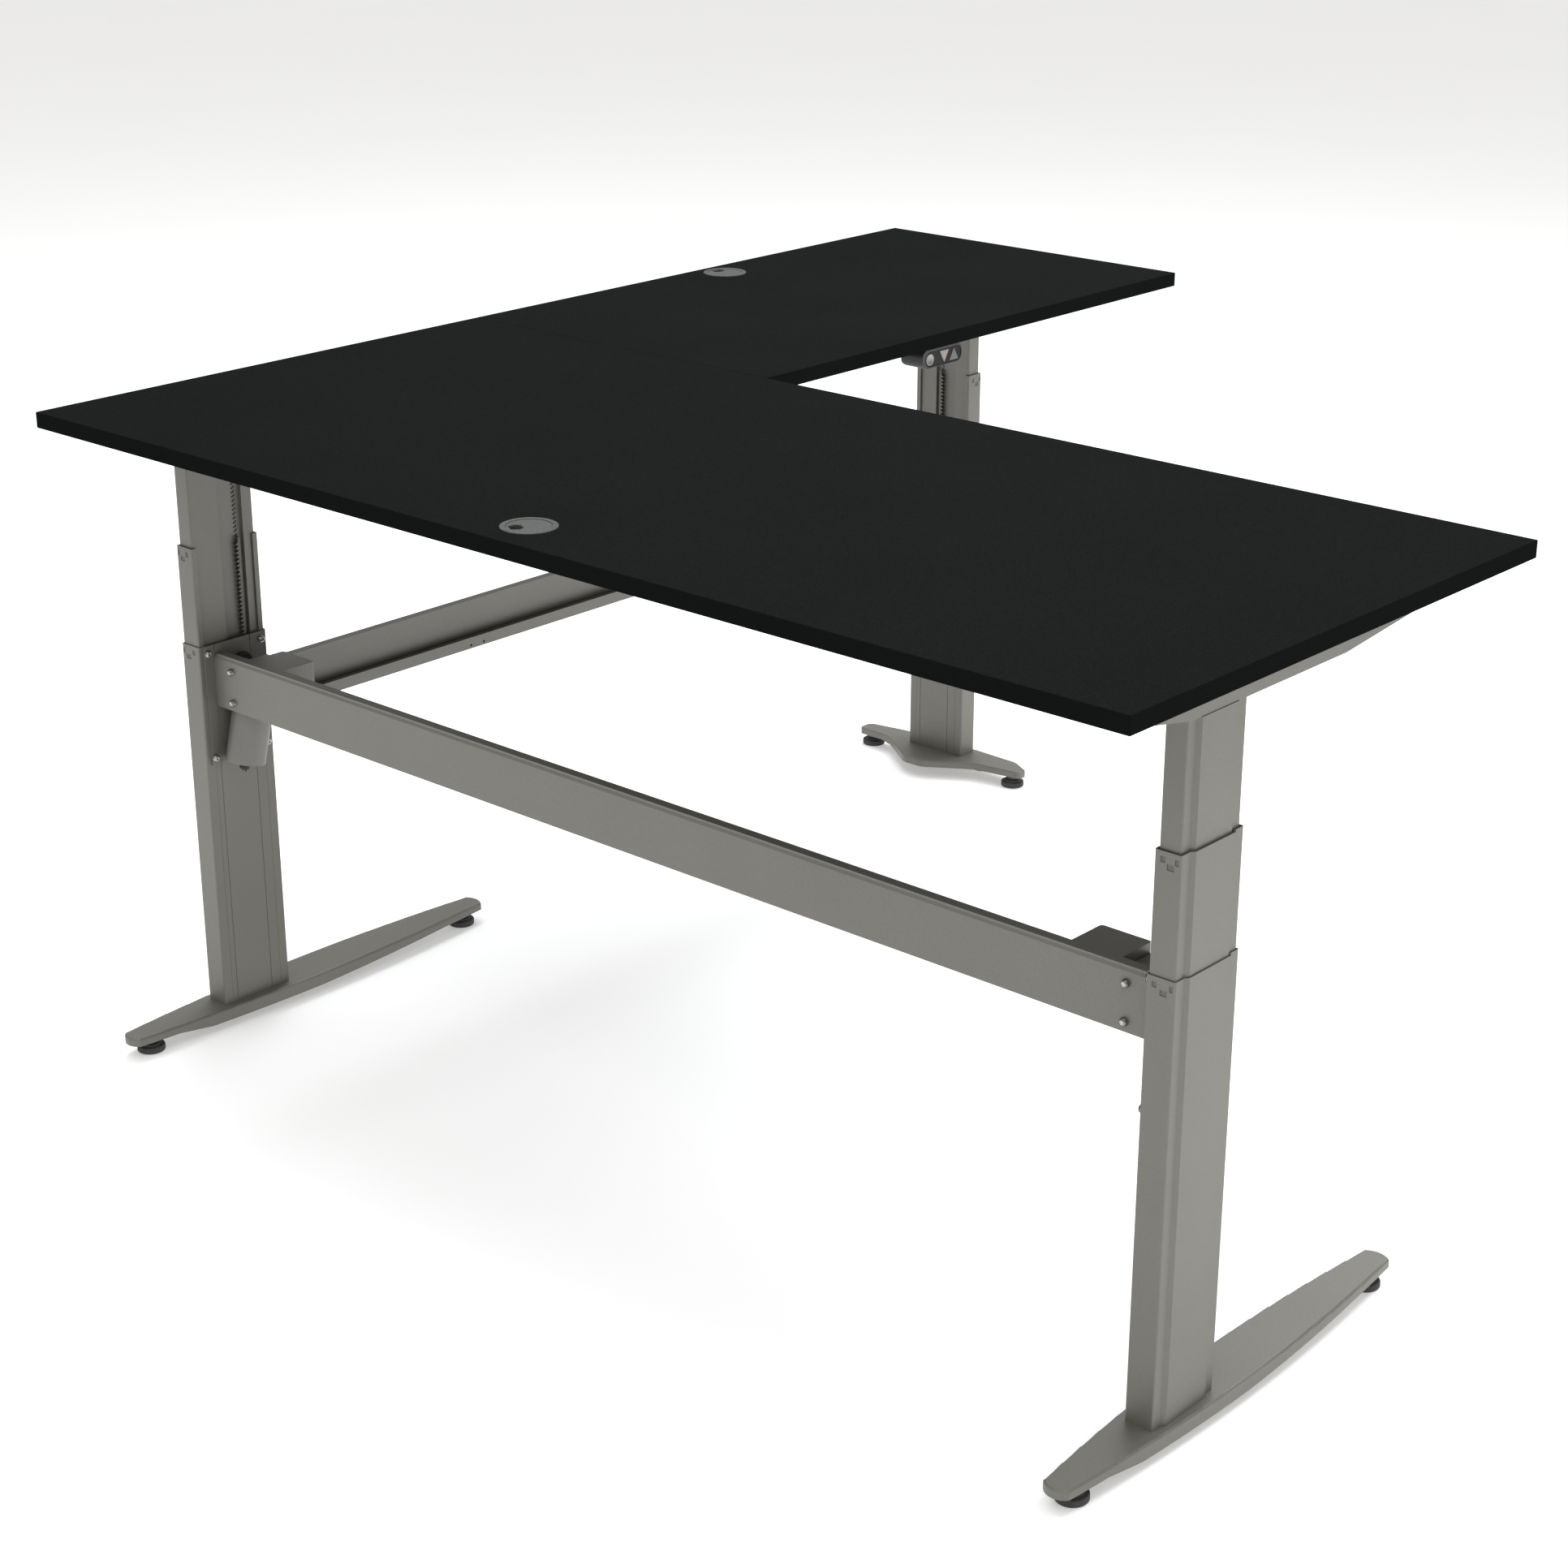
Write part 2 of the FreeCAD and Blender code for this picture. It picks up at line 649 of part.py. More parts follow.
def make_motor(column):
    """A motor can, tilted in the plane of the wide side and cut flush with the gearbox."""
    tilt = -d.motor_tilt.value * column.hand
    can = doc.addObject("Part::Cylinder", "Can")
    bind(can, "Radius", d.motor_radius)
    bind(can, "Height", d.motor_drop + 20)
    axis_y = column.at(-beam_setback + d.beam_ledge + 21)
    motor_x = plate_face + d.motor_radius + d.motor_gap
    lean = math.radians(d.motor_tilt.value)
    drop = d.motor_drop * math.cos(lean)
    slip = column.at(d.motor_drop * math.sin(lean))
    place(can, motor_x, axis_y - slip, gearbox_bottom - drop, X_AXIS, tilt)
    lid = box(plate_face - 1, gearbox_end + 20, -80, 80, gearbox_bottom,
              gearbox_bottom + 60)
    trimmed = cut(can, lid)
    rim = soften(trimmed, 2.0, lambda edge: edge.Curve.TypeId == "Part::GeomCircle"
                 and edge.BoundBox.ZMax < gearbox_bottom.value - 40)
    node(f"motor_{column.name}", column.seat(rim))

    # the plug socket under the can: a thin flange and a round-ended boss with two pins
    flange = soften(box(motor_x - 13.5, motor_x + 13.5, -9, 9, -2.5, 0), 2.0, upright)
    boss = soften(cylinder(7.5, 10, motor_x, 0, -10), 2.5,
                  lambda edge: edge.BoundBox.ZMax < -9.9)
    pins = [cylinder(1.2, 3.5, motor_x + side, 0, -13) for side in (-3, 3)]
    plug = fuse(flange, boss, *pins)
    place(plug, 0, axis_y - slip, gearbox_bottom - drop, X_AXIS, tilt)
    sockets.append(column.seat(group(plug)))


def make_column(column):
    name = column.name
    side = -beam_setback

    lower = open_tube(f"lower_tube_{name}", lower_half, d.lower_wall, d.lower_lip, d.foot_top,
                      d.lower_tube_length)
    plate_holes = [(sign * (lower_half[0].value - 13) / lower_half[0].value, drop)
                   for sign in (-1, 1) for drop in (11, 168)]
    spots = [(lower_half[0] * share, lower_top - drop) for share, drop in plate_holes]
    lip_holes = [cylinder(d.screw_hole, d.lower_wall + 2, half_depth - d.lower_wall - 1, y, z, "x")
                 for y, z in spots]
    node(f"lower_tube_{name}", column.seat(cut(lower, *lip_holes)))

    middle = open_tube(f"middle_tube_{name}", middle_half, d.tube_wall, d.middle_lip,
                       middle_top - d.middle_tube_length, d.middle_tube_length)
    node(f"middle_tube_{name}", column.seat(middle))
    upper_bottom = upper_top - d.upper_tube_length
    upper = upper_tube(f"upper_tube_{name}", column, upper_bottom, d.upper_tube_length)
    node(f"upper_tube_{name}", column.seat(upper))
    upper_racks.append(column.seat(group(upper_rack(column, upper_bottom, d.upper_tube_length - 2))))
    toothed = rack(f"middle_rack_{name}", column, middle_top - d.middle_tube_length,
                   d.middle_tube_length)
    node(f"middle_rack_{name}", column.seat(toothed))
    node(f"pinion_{name}", column.seat(pinion(f"pinion_{name}", column)))
    pads = glides(middle_half, upper_half, d.tube_wall, middle_top)
    node(f"middle_glides_{name}", column.seat(group(*pads)))

    # gearbox housing, with a boss that the crossbeam is screwed to
    low, high = column.across(side + d.beam_wall, block_side + d.block_width)
    housing = box(gearbox_start, gearbox_end, low, high, gearbox_bottom,
                  gearbox_bottom + d.gearbox_height)
    block = soften(housing, 3.0, lambda edge: upright(edge)
                   or edge.BoundBox.ZMin > (gearbox_bottom + d.gearbox_height).value - 0.01)
    screw_x = plate_face + 38
    holes = [cylinder(d.shaft_radius + d.shaft_clearance, 12, gearbox_start - 1,
                      column.at(d.pinion_offset), pinion_height, "x")]
    if name != "side":
        holes.append(cylinder(d.shaft_radius + d.shaft_clearance, 12, gearbox_end + 1,
                              column.at(d.pinion_offset), pinion_height, "-x"))
    for z in beam_screw_heights:
        start = column.at(side)
        along = "y" if column.hand > 0 else "-y"
        holes.append(cylinder(d.screw_hole, 12, screw_x, start, z, along))
    node(f"gearbox_{name}", column.seat(cut(block, *holes)))
    if column.has_motor:
        make_motor(column)

    cap = cylinder(d.cap_radius, d.cap_thickness, plate_face, column.at(d.pinion_offset),
                   pinion_height, "x")
    bore = cylinder(d.shaft_radius + d.shaft_clearance, d.cap_thickness + 2, plate_face - 1,
                    column.at(d.pinion_offset), pinion_height, "x")
    caps.append(column.seat(cut(cap, bore)))

    strip = box(half_depth - d.lower_wall, half_depth, -lower_half[0] + d.lower_lip + d.free_gap,
                lower_half[0] - d.lower_lip - d.free_gap, d.foot_top, plate_bottom)
    seams = [box(half_depth - 0.6, half_depth + 1, y, y + 1, d.foot_top - 1, plate_bottom + 1)
             for y in seam_lines]
    covers.append(column.seat(cut(strip, *seams)))

    sheet_plate = box(half_depth, plate_face, -d.plate_half_width, d.plate_half_width,
                      plate_bottom, lower_top)
    notches = [box(half_depth - 1, plate_face + 1, y, y + 1.5, lower_top - 9, lower_top + 1)
               for y in seam_lines]
    openings = [cylinder(d.screw_hole, d.plate_thickness + 2, half_depth - 1, y, z, "x")
                for y, z in spots]
    openings.append(cylinder(d.shaft_radius + d.shaft_clearance, d.plate_thickness + 2,
                             half_depth - 1, column.at(d.pinion_offset), pinion_height, "x"))
    grooves = [box(plate_face - 0.6, plate_face + 1, y, y + 1, plate_bottom - 1, lower_top - 8)
               for y in seam_lines]
    plate = cut(sheet_plate, *notches, *openings, *grooves)
    plates.append(column.seat(plate))

    for y, z in spots:
        bolt = screw(plate_face, y, z, "-x", d.plate_thickness + d.lower_wall - 0.2)
        frame_screws.append(column.seat(group(bolt)))
    for z in beam_screw_heights:
        along = "y" if column.hand > 0 else "-y"
        bolt = screw(screw_x, column.at(side), z, along, 10)
        frame_screws.append(column.seat(group(bolt)))
    for glide in glides(lower_half, middle_half, d.lower_wall, lower_top):
        lower_glides.append(column.seat(group(glide)))


beam_screw_heights = (beam_bottom + 12.5, beam_bottom + 58.7)
seam_lines = (-d.plate_half_width + 15.5, d.plate_half_width - 25)
upper_racks, sockets, caps, covers, plates = [], [], [], [], []
frame_screws, lower_glides = [], []
for column in columns:
    make_column(column)
node("motor_sockets", group(*sockets))
node("bearing_caps", group(*caps))
node("tube_covers", group(*covers))
node("gear_plates", group(*plates))
node("lower_glides", group(*lower_glides))
node("upper_racks", group(*upper_racks))

# the cross shaft, coaxial with the pinions of the two main columns, brings the left drive across
shaft_bite = 10
shaft_start = columns[0].x + gearbox_end - shaft_bite
shaft_end = columns[1].x - gearbox_end + shaft_bite
node("cross_shaft", cylinder(d.shaft_radius, shaft_end - shaft_start, shaft_start,
                             columns[0].y + d.pinion_offset, pinion_height, "x"))


# ---------------------------------------------------------------- beam blocks and crossbeams
def beam_block(column):
    """A folded box that closes the end of the crossbeam beside the gearbox."""
    low, high = column.across(block_side, block_side + d.block_width)
    skin = box(block_start, block_end, low, high, beam_bottom + 4, block_top)
    skin = soften(skin, 4.0, upright)
    wall = d.beam_wall
    hollow = box(block_start + wall, block_end - wall, low + wall, high - wall,
                 beam_bottom + 3, block_top - wall)
    passage = cylinder(d.shaft_radius + 3, d.block_length + 4, block_start - 2,
                       column.at(d.pinion_offset), pinion_height, "x")
    return column.seat(cut(skin, hollow, passage))


for column in columns[:2]:
    node(f"beam_block_{column.name}", beam_block(column))


def beam_points(origin, low, height):
    """The lipped C section of a crossbeam: web, upper flange and lower ledge."""
    wall = d.beam_wall
    high = low + height
    flange, ledge = d.beam_top_flange, d.beam_ledge
    recess = 1.4
    section = [(0, low), (0, high - 7.5), (recess, high - 3.5), (recess, high - 0.8),
               (0, high - 0.8), (0, high), (flange, high), (flange, high - 6),
               (flange - wall, high - 6), (flange - wall, high - wall), (wall + recess, high - wall),
               (wall + recess, high - 4), (wall, high - 8), (wall, low + wall),
               (ledge - wall, low + wall), (ledge - wall, low + 15.5), (ledge - 9, low + 15.5),
               (ledge - 9, low + 18), (ledge, low + 18), (ledge, low)]
    return [(origin + along, height) for along, height in section]


def ledge_test(origin_axis, origin, bottom):
    """Pick the long lower edge of the ledge, which is bent round."""
    def wanted(edge):
        box_ = edge.BoundBox
        low, high = (box_.YMin, box_.YMax) if origin_axis == "y" else (box_.XMin, box_.XMax)
        flat = box_.ZMax - box_.ZMin < 0.01 and high - low < 0.01
        return (flat and abs(low - (origin + d.beam_ledge).value) < 0.01
                and abs(box_.ZMin - bottom.value) < 0.01)
    return wanted


main_web = rear + d.column_setback - beam_setback
main_start = left + d.column_inset + plate_face
main_beam = profile("crossbeam_main", "YZ_Plane",
                    beam_points(main_web, beam_bottom, d.beam_height), -main_start * 2,
                    midplane=True)
round_off(main_beam, 2.2, ledge_test("y", main_web, beam_bottom))
reach = block_end - plate_face + 3
notches = []
for start, end in ((main_start - 1, main_start + reach), (-main_start - reach, -main_start + 1)):
    notches.append(box(start, end, main_web + d.beam_wall, main_web + d.beam_ledge + 5,
                       beam_bottom - 1, beam_bottom + 20))
web_holes = []
for x in (main_start + 38, -main_start - 38):
    for z in beam_screw_heights:
        web_holes.append(cylinder(d.screw_hole, d.beam_wall + 2, x, main_web - 1, z, "y"))
corner_round = 11
corner_cuts = []
for outer, inner in ((main_start - 1, main_start + corner_round),
                     (-main_start - corner_round, -main_start + 1)):
    square = box(outer, inner, main_web - 1, main_web + d.beam_top_flange + 1,
                 beam_top - corner_round, beam_top + 1)
    centre = inner if outer.value < 0 else outer
    round_bar = cylinder(corner_round, d.beam_top_flange + 4, centre, main_web - 2,
                         beam_top - corner_round, "y")
    corner_cuts.append(cut(square, round_bar))
trimmed_beam = cut(main_beam, *notches, *web_holes, *corner_cuts)
node("crossbeam_main", soften(trimmed_beam, 5.0, lambda edge: (
    edge.BoundBox.YMax < (main_web + d.beam_wall).value + 0.1
    and edge.BoundBox.XMax - edge.BoundBox.XMin < 0.01
    and edge.BoundBox.ZMax - edge.BoundBox.ZMin < 0.01
    and abs(abs(edge.BoundBox.XMin) - abs(main_start.value)) < 0.01
    and abs(edge.BoundBox.ZMin - beam_bottom.value) < 0.01)))

side_web = left + d.side_column_inset - beam_setback
side_start = rear + d.column_setback + block_side + d.block_width
side_end = -rear - d.side_column_setback - plate_face
side_beam = profile("crossbeam_side", "XZ_Plane",
                    beam_points(side_web, side_beam_bottom, d.side_beam_height),
                    side_end - side_start, reverse=True)
round_off(side_beam, 2.2, ledge_test("x", side_web, side_beam_bottom))
place(side_beam, 0, side_start, 0)
side_notch = box(side_web + d.beam_wall, side_web + d.beam_ledge + 5,
                 side_end - (gearbox_end - plate_face) - 3, side_end + 1,
                 side_beam_bottom - 1, side_beam_bottom + 20)
side_holes = [cylinder(d.screw_hole, d.beam_wall + 2, side_web - 1, side_end - 38, z, "x")
              for z in beam_screw_heights]
ledge_holes = [cylinder(2, d.beam_wall + 2, side_web + d.beam_ledge - d.beam_wall - 1,
                        side_start + 340 + step, side_beam_bottom + 6, "x") for step in (0, 26)]
node("crossbeam_side", cut(side_beam, side_notch, *side_holes, *ledge_holes))
node("frame_screws", group(*frame_screws))


# ---------------------------------------------------------------- feet
def foot_blank(name, plan, bulges, profile_points, role, width):
    """A foot: its plan outline and its side view, each pushed through the other."""
    plan_body = profile(f"{name}_plan", "XY_Plane", plan, d.foot_top, bulges=bulges)
    side_body = profile(f"{name}_side", role, profile_points, width, midplane=True)
    return common(plan_body, side_body)


def drill_foot(base, spots):
    """Blind holes for the levelling studs."""
    return cut(base, *[cylinder(d.stud_radius + d.free_gap, d.foot_top - 1.2, x, y, 0)
                       for x, y in spots])


pad_inset = 37
leg_spots = {}


def main_foot(column):
    """A long foot under a main column, leaf shaped in plan with rounded tips."""
    tip = d.foot_tip_half_width
    back = -d.foot_rear_reach
    front = back + d.foot_length
    plan = [(-tip, back + 9), (tip, back + 9), (tip, front - 7), (-tip, front - 7)]
    belly = (d.foot_half_width - tip).value
    bulges = {0: 9, 1: belly, 2: 7, 3: belly}
    low = d.foot_top - d.foot_belly
    thin = d.foot_top - d.foot_tip_thickness
    view = [(back - 1, thin), (back + 75, thin), (-90, low), (110, low), (front - 90, thin),
            (front + 1, thin), (front + 1, d.foot_top + 1), (back - 1, d.foot_top + 1)]
    blank = foot_blank(f"foot_{column.name}", plan, bulges, view, "YZ_Plane", 200)
    soft = soften(blank, 3.0, lambda edge: edge.BoundBox.ZMin > d.foot_top.value - 0.01)
    spots = [(0, back + pad_inset + 2), (0, front - pad_inset + 3)]
    leg_spots[column.name] = [(column.x + x, column.y + y) for x, y in spots]
    return place(drill_foot(soft, spots), column.x, column.y, 0)


def side_foot(column):
    """The short foot under the side column: a bar with a lobe away from the side top's end."""
    half = d.side_foot_half_width
    start = -d.side_column_inset + d.side_foot_start
    end = start + d.side_foot_length
    lobe = -half - d.side_foot_lobe + 3
    plan = [(start, -half + 5), (start + 69, -half + 4), (-22, lobe), (18, lobe),
            (100, -half - 3), (end, -half + 12), (end, half - 18), (end - 38, half + 3),
            (60, half + 6.5), (start + 78, half + 2), (start, half - 13)]
    rounds = {0: 8, 1: 50, 2: 26, 3: 26, 4: 70, 5: 8, 6: 9, 7: 30, 9: 60, 10: 14}
    plate = profile("foot_side_plate", "XY_Plane", plan, d.foot_tip_thickness)
    raise_body(plate, d.foot_top - d.foot_tip_thickness)
    for index, radius in rounds.items():
        spot = [Size.of(size).value for size in plan[index]]
        round_off(plate, radius, lambda edge: upright(edge) and math.hypot(
            edge.Vertexes[0].X - spot[0], edge.Vertexes[0].Y - spot[1]) < 0.01)
    low = d.foot_top - d.foot_belly
    thin = d.foot_top - d.foot_tip_thickness
    view = [(start + 8, d.foot_top - 5), (start + 8, thin), (start + 42, thin),
            (start + 66, low), (end - 90, low), (end - 60, thin), (end - 8, thin),
            (end - 8, d.foot_top - 5)]
    bar = profile("foot_side_bar", "XZ_Plane", view, 28, midplane=True)
    soft = soften(plate, 2.5, lambda edge: edge.BoundBox.ZMin > d.foot_top.value - 0.01)
    spots = [(start + 19.1, 0), (end - 24.5, 0)]
    leg_spots[column.name] = [(column.x + x, column.y + y) for x, y in spots]
    return place(drill_foot(fuse(soft, bar), spots), column.x, column.y, 0)


node("foot_left", main_foot(columns[0]))
node("foot_right", main_foot(columns[1]))
node("foot_side", side_foot(columns[2]))


def levelling_foot(x, y, seat_height):
    """A plastic pad with a stepped neck on a threaded stud."""
    disc = soften(cylinder(d.pad_radius, 9.5, x, y, 0), 1.2, lambda edge: edge.BoundBox.ZMax > 9)
    step = cylinder(d.pad_radius * 0.7, 3, x, y, 9.5)
    neck = cylinder(d.pad_radius * 0.48, seat_height - 12.5, x, y, 12.5)
    stud = cylinder(d.stud_radius, d.foot_top - 3.4 - seat_height, x, y, seat_height)
    return fuse(disc, step, neck, stud)


ends = {"left": ("rear", "front"), "right": ("rear", "front"), "side": ("outer", "inner")}
thin_underside = d.foot_top - d.foot_tip_thickness
for name, spots in leg_spots.items():
    for end_name, (x, y) in zip(ends[name], spots):
        node(f"levelling_foot_{name}_{end_name}", levelling_foot(x, y, thin_underside))


# ---------------------------------------------------------------- tops
def rounded_slab(x0, x1, y0, y1):
    """A board with eased edges."""
    board = box(x0, x1, y0, y1, underside, desk_top)
    return soften(board, d.top_edge_radius.value, lambda edge: True)


arm_screw_spots = []
arm_screws = []


def support_arm(column, back, front):
    """A trough with two screw flanges, its underside rising towards both ends."""
    wall, half = d.arm_wall, d.arm_half_width
    outer = half + d.arm_flange
    trough = [(-outer, underside), (-outer, underside - wall), (-half, underside - wall),
              (-half, upper_top), (half, upper_top), (half, underside - wall),
              (outer, underside - wall), (outer, underside), (half - wall, underside),
              (half - wall, upper_top + wall), (wall - half, upper_top + wall),
              (wall - half, underside)]
    body = profile(f"support_arm_{column.name}", "XZ_Plane", trough, back + front, reverse=True)
    place(body, 0, -back, 0)
    view = [(-back - 1, upper_top + 24), (-52, upper_top), (244, upper_top),
            (front + 1, upper_top + 24), (front + 1, underside + 1), (-back - 1, underside + 1)]
    if column.name == "side":
        view = [(-back - 1, upper_top + 24), (-70, upper_top), (150, upper_top),
                (front + 1, upper_top + 24), (front + 1, underside + 1),
                (-back - 1, underside + 1)]
    shape = profile(f"arm_view_{column.name}", "YZ_Plane", view, 200, midplane=True)
    holes = []
    for x in (-half - d.arm_flange / 2, half + d.arm_flange / 2):
        for y in (-back + 30, front - 30):
            holes.append(cylinder(d.screw_hole, wall + 2, x, y, underside - wall - 1))
            bolt = group(screw(x, y, underside - wall, "z", 14))
            arm_screws.append(bolt)
            arm_screw_spots.append((bolt, x, y, column))
    return cut(common(body, shape), *holes)


arm_left = place(support_arm(columns[0], d.arm_rear_reach, d.arm_front_reach),
                 columns[0].x, columns[0].y, 0)
arm_right = place(support_arm(columns[1], d.arm_rear_reach, d.arm_front_reach),
                  columns[1].x, columns[1].y, 0)
arm_side = place(support_arm(columns[2], d.side_arm_outer_reach, d.side_arm_inner_reach),
                 columns[2].x, columns[2].y, 0, Z_AXIS, -90)
node("support_arm_left", arm_left)
node("support_arm_right", arm_right)
node("support_arm_side", arm_side)

pilot = {"main": [], "side": []}
for bolt, x, y, column in arm_screw_spots:
    if column.name == "side":
        place(bolt, column.x, column.y, 0, Z_AXIS, -90)
        pilot["side"].append((column.x + y, column.y - x))
    else:
        place(bolt, column.x, column.y, 0)
        pilot["main"].append((column.x + x, column.y + y))

plate_reach, plate_half, plate_sheet = 90, 40, 3
joining_plates = []
for share in (0.25, 0.75):
    centre = left + d.side_width * share
    spots = [(centre + dx, seam + dy) for dx in (-24, 24) for dy in (-60, 60)]
    flat = box(centre - plate_half, centre + plate_half, seam - plate_reach, seam + plate_reach,
               underside - plate_sheet, underside)
    joining_plates.append(cut(flat, *[cylinder(d.screw_hole, 5, x, y, underside - 4)
                                      for x, y in spots]))
    for x, y in spots:
        arm_screws.append(screw(x, y, underside - plate_sheet, "z", 14))
        pilot["main" if y.value < seam.value else "side"].append((x, y))
node("joining_plates", group(*joining_plates))
node("top_screws", group(*arm_screws))


def pilot_holes(spots):
    return [cylinder(d.screw_hole, 13, x, y, underside - 1) for x, y in spots]


main_grommet = (left + d.main_length / 2 - 4, rear + d.grommet_setback)
side_grommet = (left + d.side_grommet_inset, seam + d.side_grommet_reach)
main_board = rounded_slab(left, -left, rear, seam)
side_board = rounded_slab(left, left + d.side_width, seam, -rear)
node("main_desktop", cut(main_board, cylinder(d.grommet_hole, d.top_thickness + 4,
                                              *main_grommet, underside - 2),
                         *pilot_holes(pilot["main"])))
node("side_desktop", cut(side_board, cylinder(d.grommet_hole, d.top_thickness + 4,
                                              *side_grommet, underside - 2),
                         *pilot_holes(pilot["side"])))


# ---------------------------------------------------------------- grommets
ring_rise, ledge_drop, lid_thick = 1.6, 0.9, 2.0


def grommet_ring(x, y):
    """A flanged plastic sleeve with a ledge that carries the lid."""
    flange = cylinder(d.grommet_flange, ring_rise, x, y, desk_top)
    sleeve = cylinder(d.grommet_hole - d.free_gap, 18, x, y, desk_top - 18)
    whole = soften(fuse(flange, sleeve), 0.7, lambda edge: (
        edge.BoundBox.ZMin > desk_top.value + 1 and edge.BoundBox.XLength > 60))
    seat = cylinder(d.grommet_hole - 2.0, ring_rise + ledge_drop + 1, x, y, desk_top - ledge_drop)
    throat = cylinder(d.grommet_hole - 4.0, 24, x, y, desk_top - 20)
    return cut(whole, seat, throat)


def grommet_lid(x, y, angle):
    """A round lid with a cable notch at its rim, drawn at the origin and turned into place."""
    radius = d.grommet_hole - 2.0 - d.free_gap
    disc = soften(cylinder(radius, lid_thick, 0, 0, 0), 0.5,
                  lambda edge: edge.BoundBox.ZMin > lid_thick - 0.1)
    notch = profile("notch", "XY_Plane", [(8, -7), (15, -11), (24, -7.5), (24, 7.5), (15, 11),
                                          (8, 7)], 4)
    slotted = cut(disc, notch)
    return place(slotted, x, y, desk_top - ledge_drop, Z_AXIS, angle)


node("grommet_rings", group(grommet_ring(*main_grommet), grommet_ring(*side_grommet)))
node("grommet_lid_main", grommet_lid(*main_grommet, -117))
node("grommet_lid_side", grommet_lid(*side_grommet, 175))

# ---------------------------------------------------------------- handset
face = left + d.side_width - 1
near = seam + d.handset_reach
far = near + d.handset_length
base = underside - d.handset_height


def along_x(edge):
    return edge.BoundBox.YLength < 0.01 and edge.BoundBox.ZLength < 0.01


hand_box = box(face - d.handset_depth, face - 1, near, far, base, underside)
hand_ends = soften(hand_box, 12.0, along_x)
hand_block = box(face - d.handset_depth, face, near - 1, far + 1, base, underside + 1)
hand_back = soften(hand_block, 8.0, lambda edge: (
    edge.BoundBox.ZMax < base.value + 0.01 and edge.BoundBox.XMax < face.value - 20))
bezel_y0, bezel_y1 = near + 5.9, far - 0.9
bezel_low, bezel_high = base + 1.2, underside - 3.5
recess = box(face - 8, face + 1, bezel_y0, bezel_y1, bezel_low, bezel_high)
recess_soft = soften(recess, 11.8, along_x)
node("handset_case", cut(common(hand_ends, hand_back), recess_soft))

ring_y, down_y, up_y = near + 18, near + 51.6, near + 74.5
button_z = (bezel_low + bezel_high) / 2
panel_box = box(face - 3.8, face - 1.9, bezel_y0 + 0.1, bezel_y1 - 0.1, bezel_low + 0.1,
                bezel_high - 0.1)
panel_soft = soften(panel_box, 11.7, along_x)


def triangle(centre, half, tip, grow):
    """A triangular key outline in Y and Z; tip is 1 for a key that points up."""
    wide = half + grow * 1.8
    tall = half * 0.85 + grow * 1.4
    points = [(centre - wide, button_z - tall * tip), (centre + wide, button_z - tall * tip),
              (centre, button_z + (tall + grow * 0.6) * tip)]
    return points if tip > 0 else list(reversed(points))


def key(name, centre, tip, grow, low, high):
    body = profile(name, "YZ_Plane", triangle(centre, 10.6, tip, grow), Size.of(high) - low)
    return place(body, low, 0, 0)


ring_radius = 8.9
ring_hole = cylinder(ring_radius + d.free_gap, 6, face - 6, ring_y, button_z, "x")
down_hole = key("down_hole", down_y, -1, 0.4, face - 6, face + 1)
up_hole = key("up_hole", up_y, 1, 0.4, face - 6, face + 1)
node("handset_panel", cut(panel_soft, ring_hole, down_hole, up_hole))
dial = soften(cylinder(ring_radius, 5.6, face - 6.6, ring_y, button_z, "x"), 0.8,
              lambda edge: edge.BoundBox.XMin > face.value - 1.2)
dish = cone(ring_radius - 2.6, ring_radius - 2, 1.2, face - 1.9, ring_y, button_z, "x")
node("button_ring", cut(dial, dish))
node("button_down", key("button_down_body", down_y, -1, 0, face - 6.6, face - 1.2))
node("button_up", key("button_up_body", up_y, 1, 0, face - 6.6, face - 1.2))

# ---------------------------------------------------------------- control box
control_x = -d.control_length / 2
control_y = rear + 95
control = box(control_x, -control_x, control_y, control_y + d.control_depth,
              underside - d.control_height, underside)
control_soft = soften(control, 5.0, upright)
sockets_cut = [box(control_x + 40 + 34 * number, control_x + 62 + 34 * number,
                   control_y - 1, control_y + 14, underside - 24, underside - 10)
               for number in range(5)]
node("control_box", cut(control_soft, *sockets_cut))

# ---------------------------------------------------------------- check and write
doc.recompute()
for obj in doc.Objects:
    for state in obj.State:
        if state in ("Invalid", "Error"):
            raise RuntimeError(f"{obj.Name} ({obj.Label}) is {state}")
os.makedirs("parts", exist_ok=True)
for name, obj in nodes:
    shape = obj.Shape
    if shape.isNull() or not shape.isValid() or not shape.Solids:
        raise RuntimeError(f"{name} has no valid solid")
for name, obj in nodes:
    obj.Shape.exportStep(f"parts/{name}.step")
print(len(nodes), "nodes written")
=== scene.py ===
# %% [markdown]
# # A corner standing desk, dressed for the studio
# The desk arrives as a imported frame: every tube, beam, top and screw is already there as a mesh of
# its true size, riding on the rigid body that moves it. This lesson gives each of those meshes its
# finish, swaps the plainest little parts for finer ones, and sets up a floor, a light and a camera.
# All lengths are in metres, and +Z is up. The user of the desk sits on the +Y side.

# %% Load the frame
import json
import math

import bmesh
import bpy
from mathutils import Matrix, Quaternion, Vector


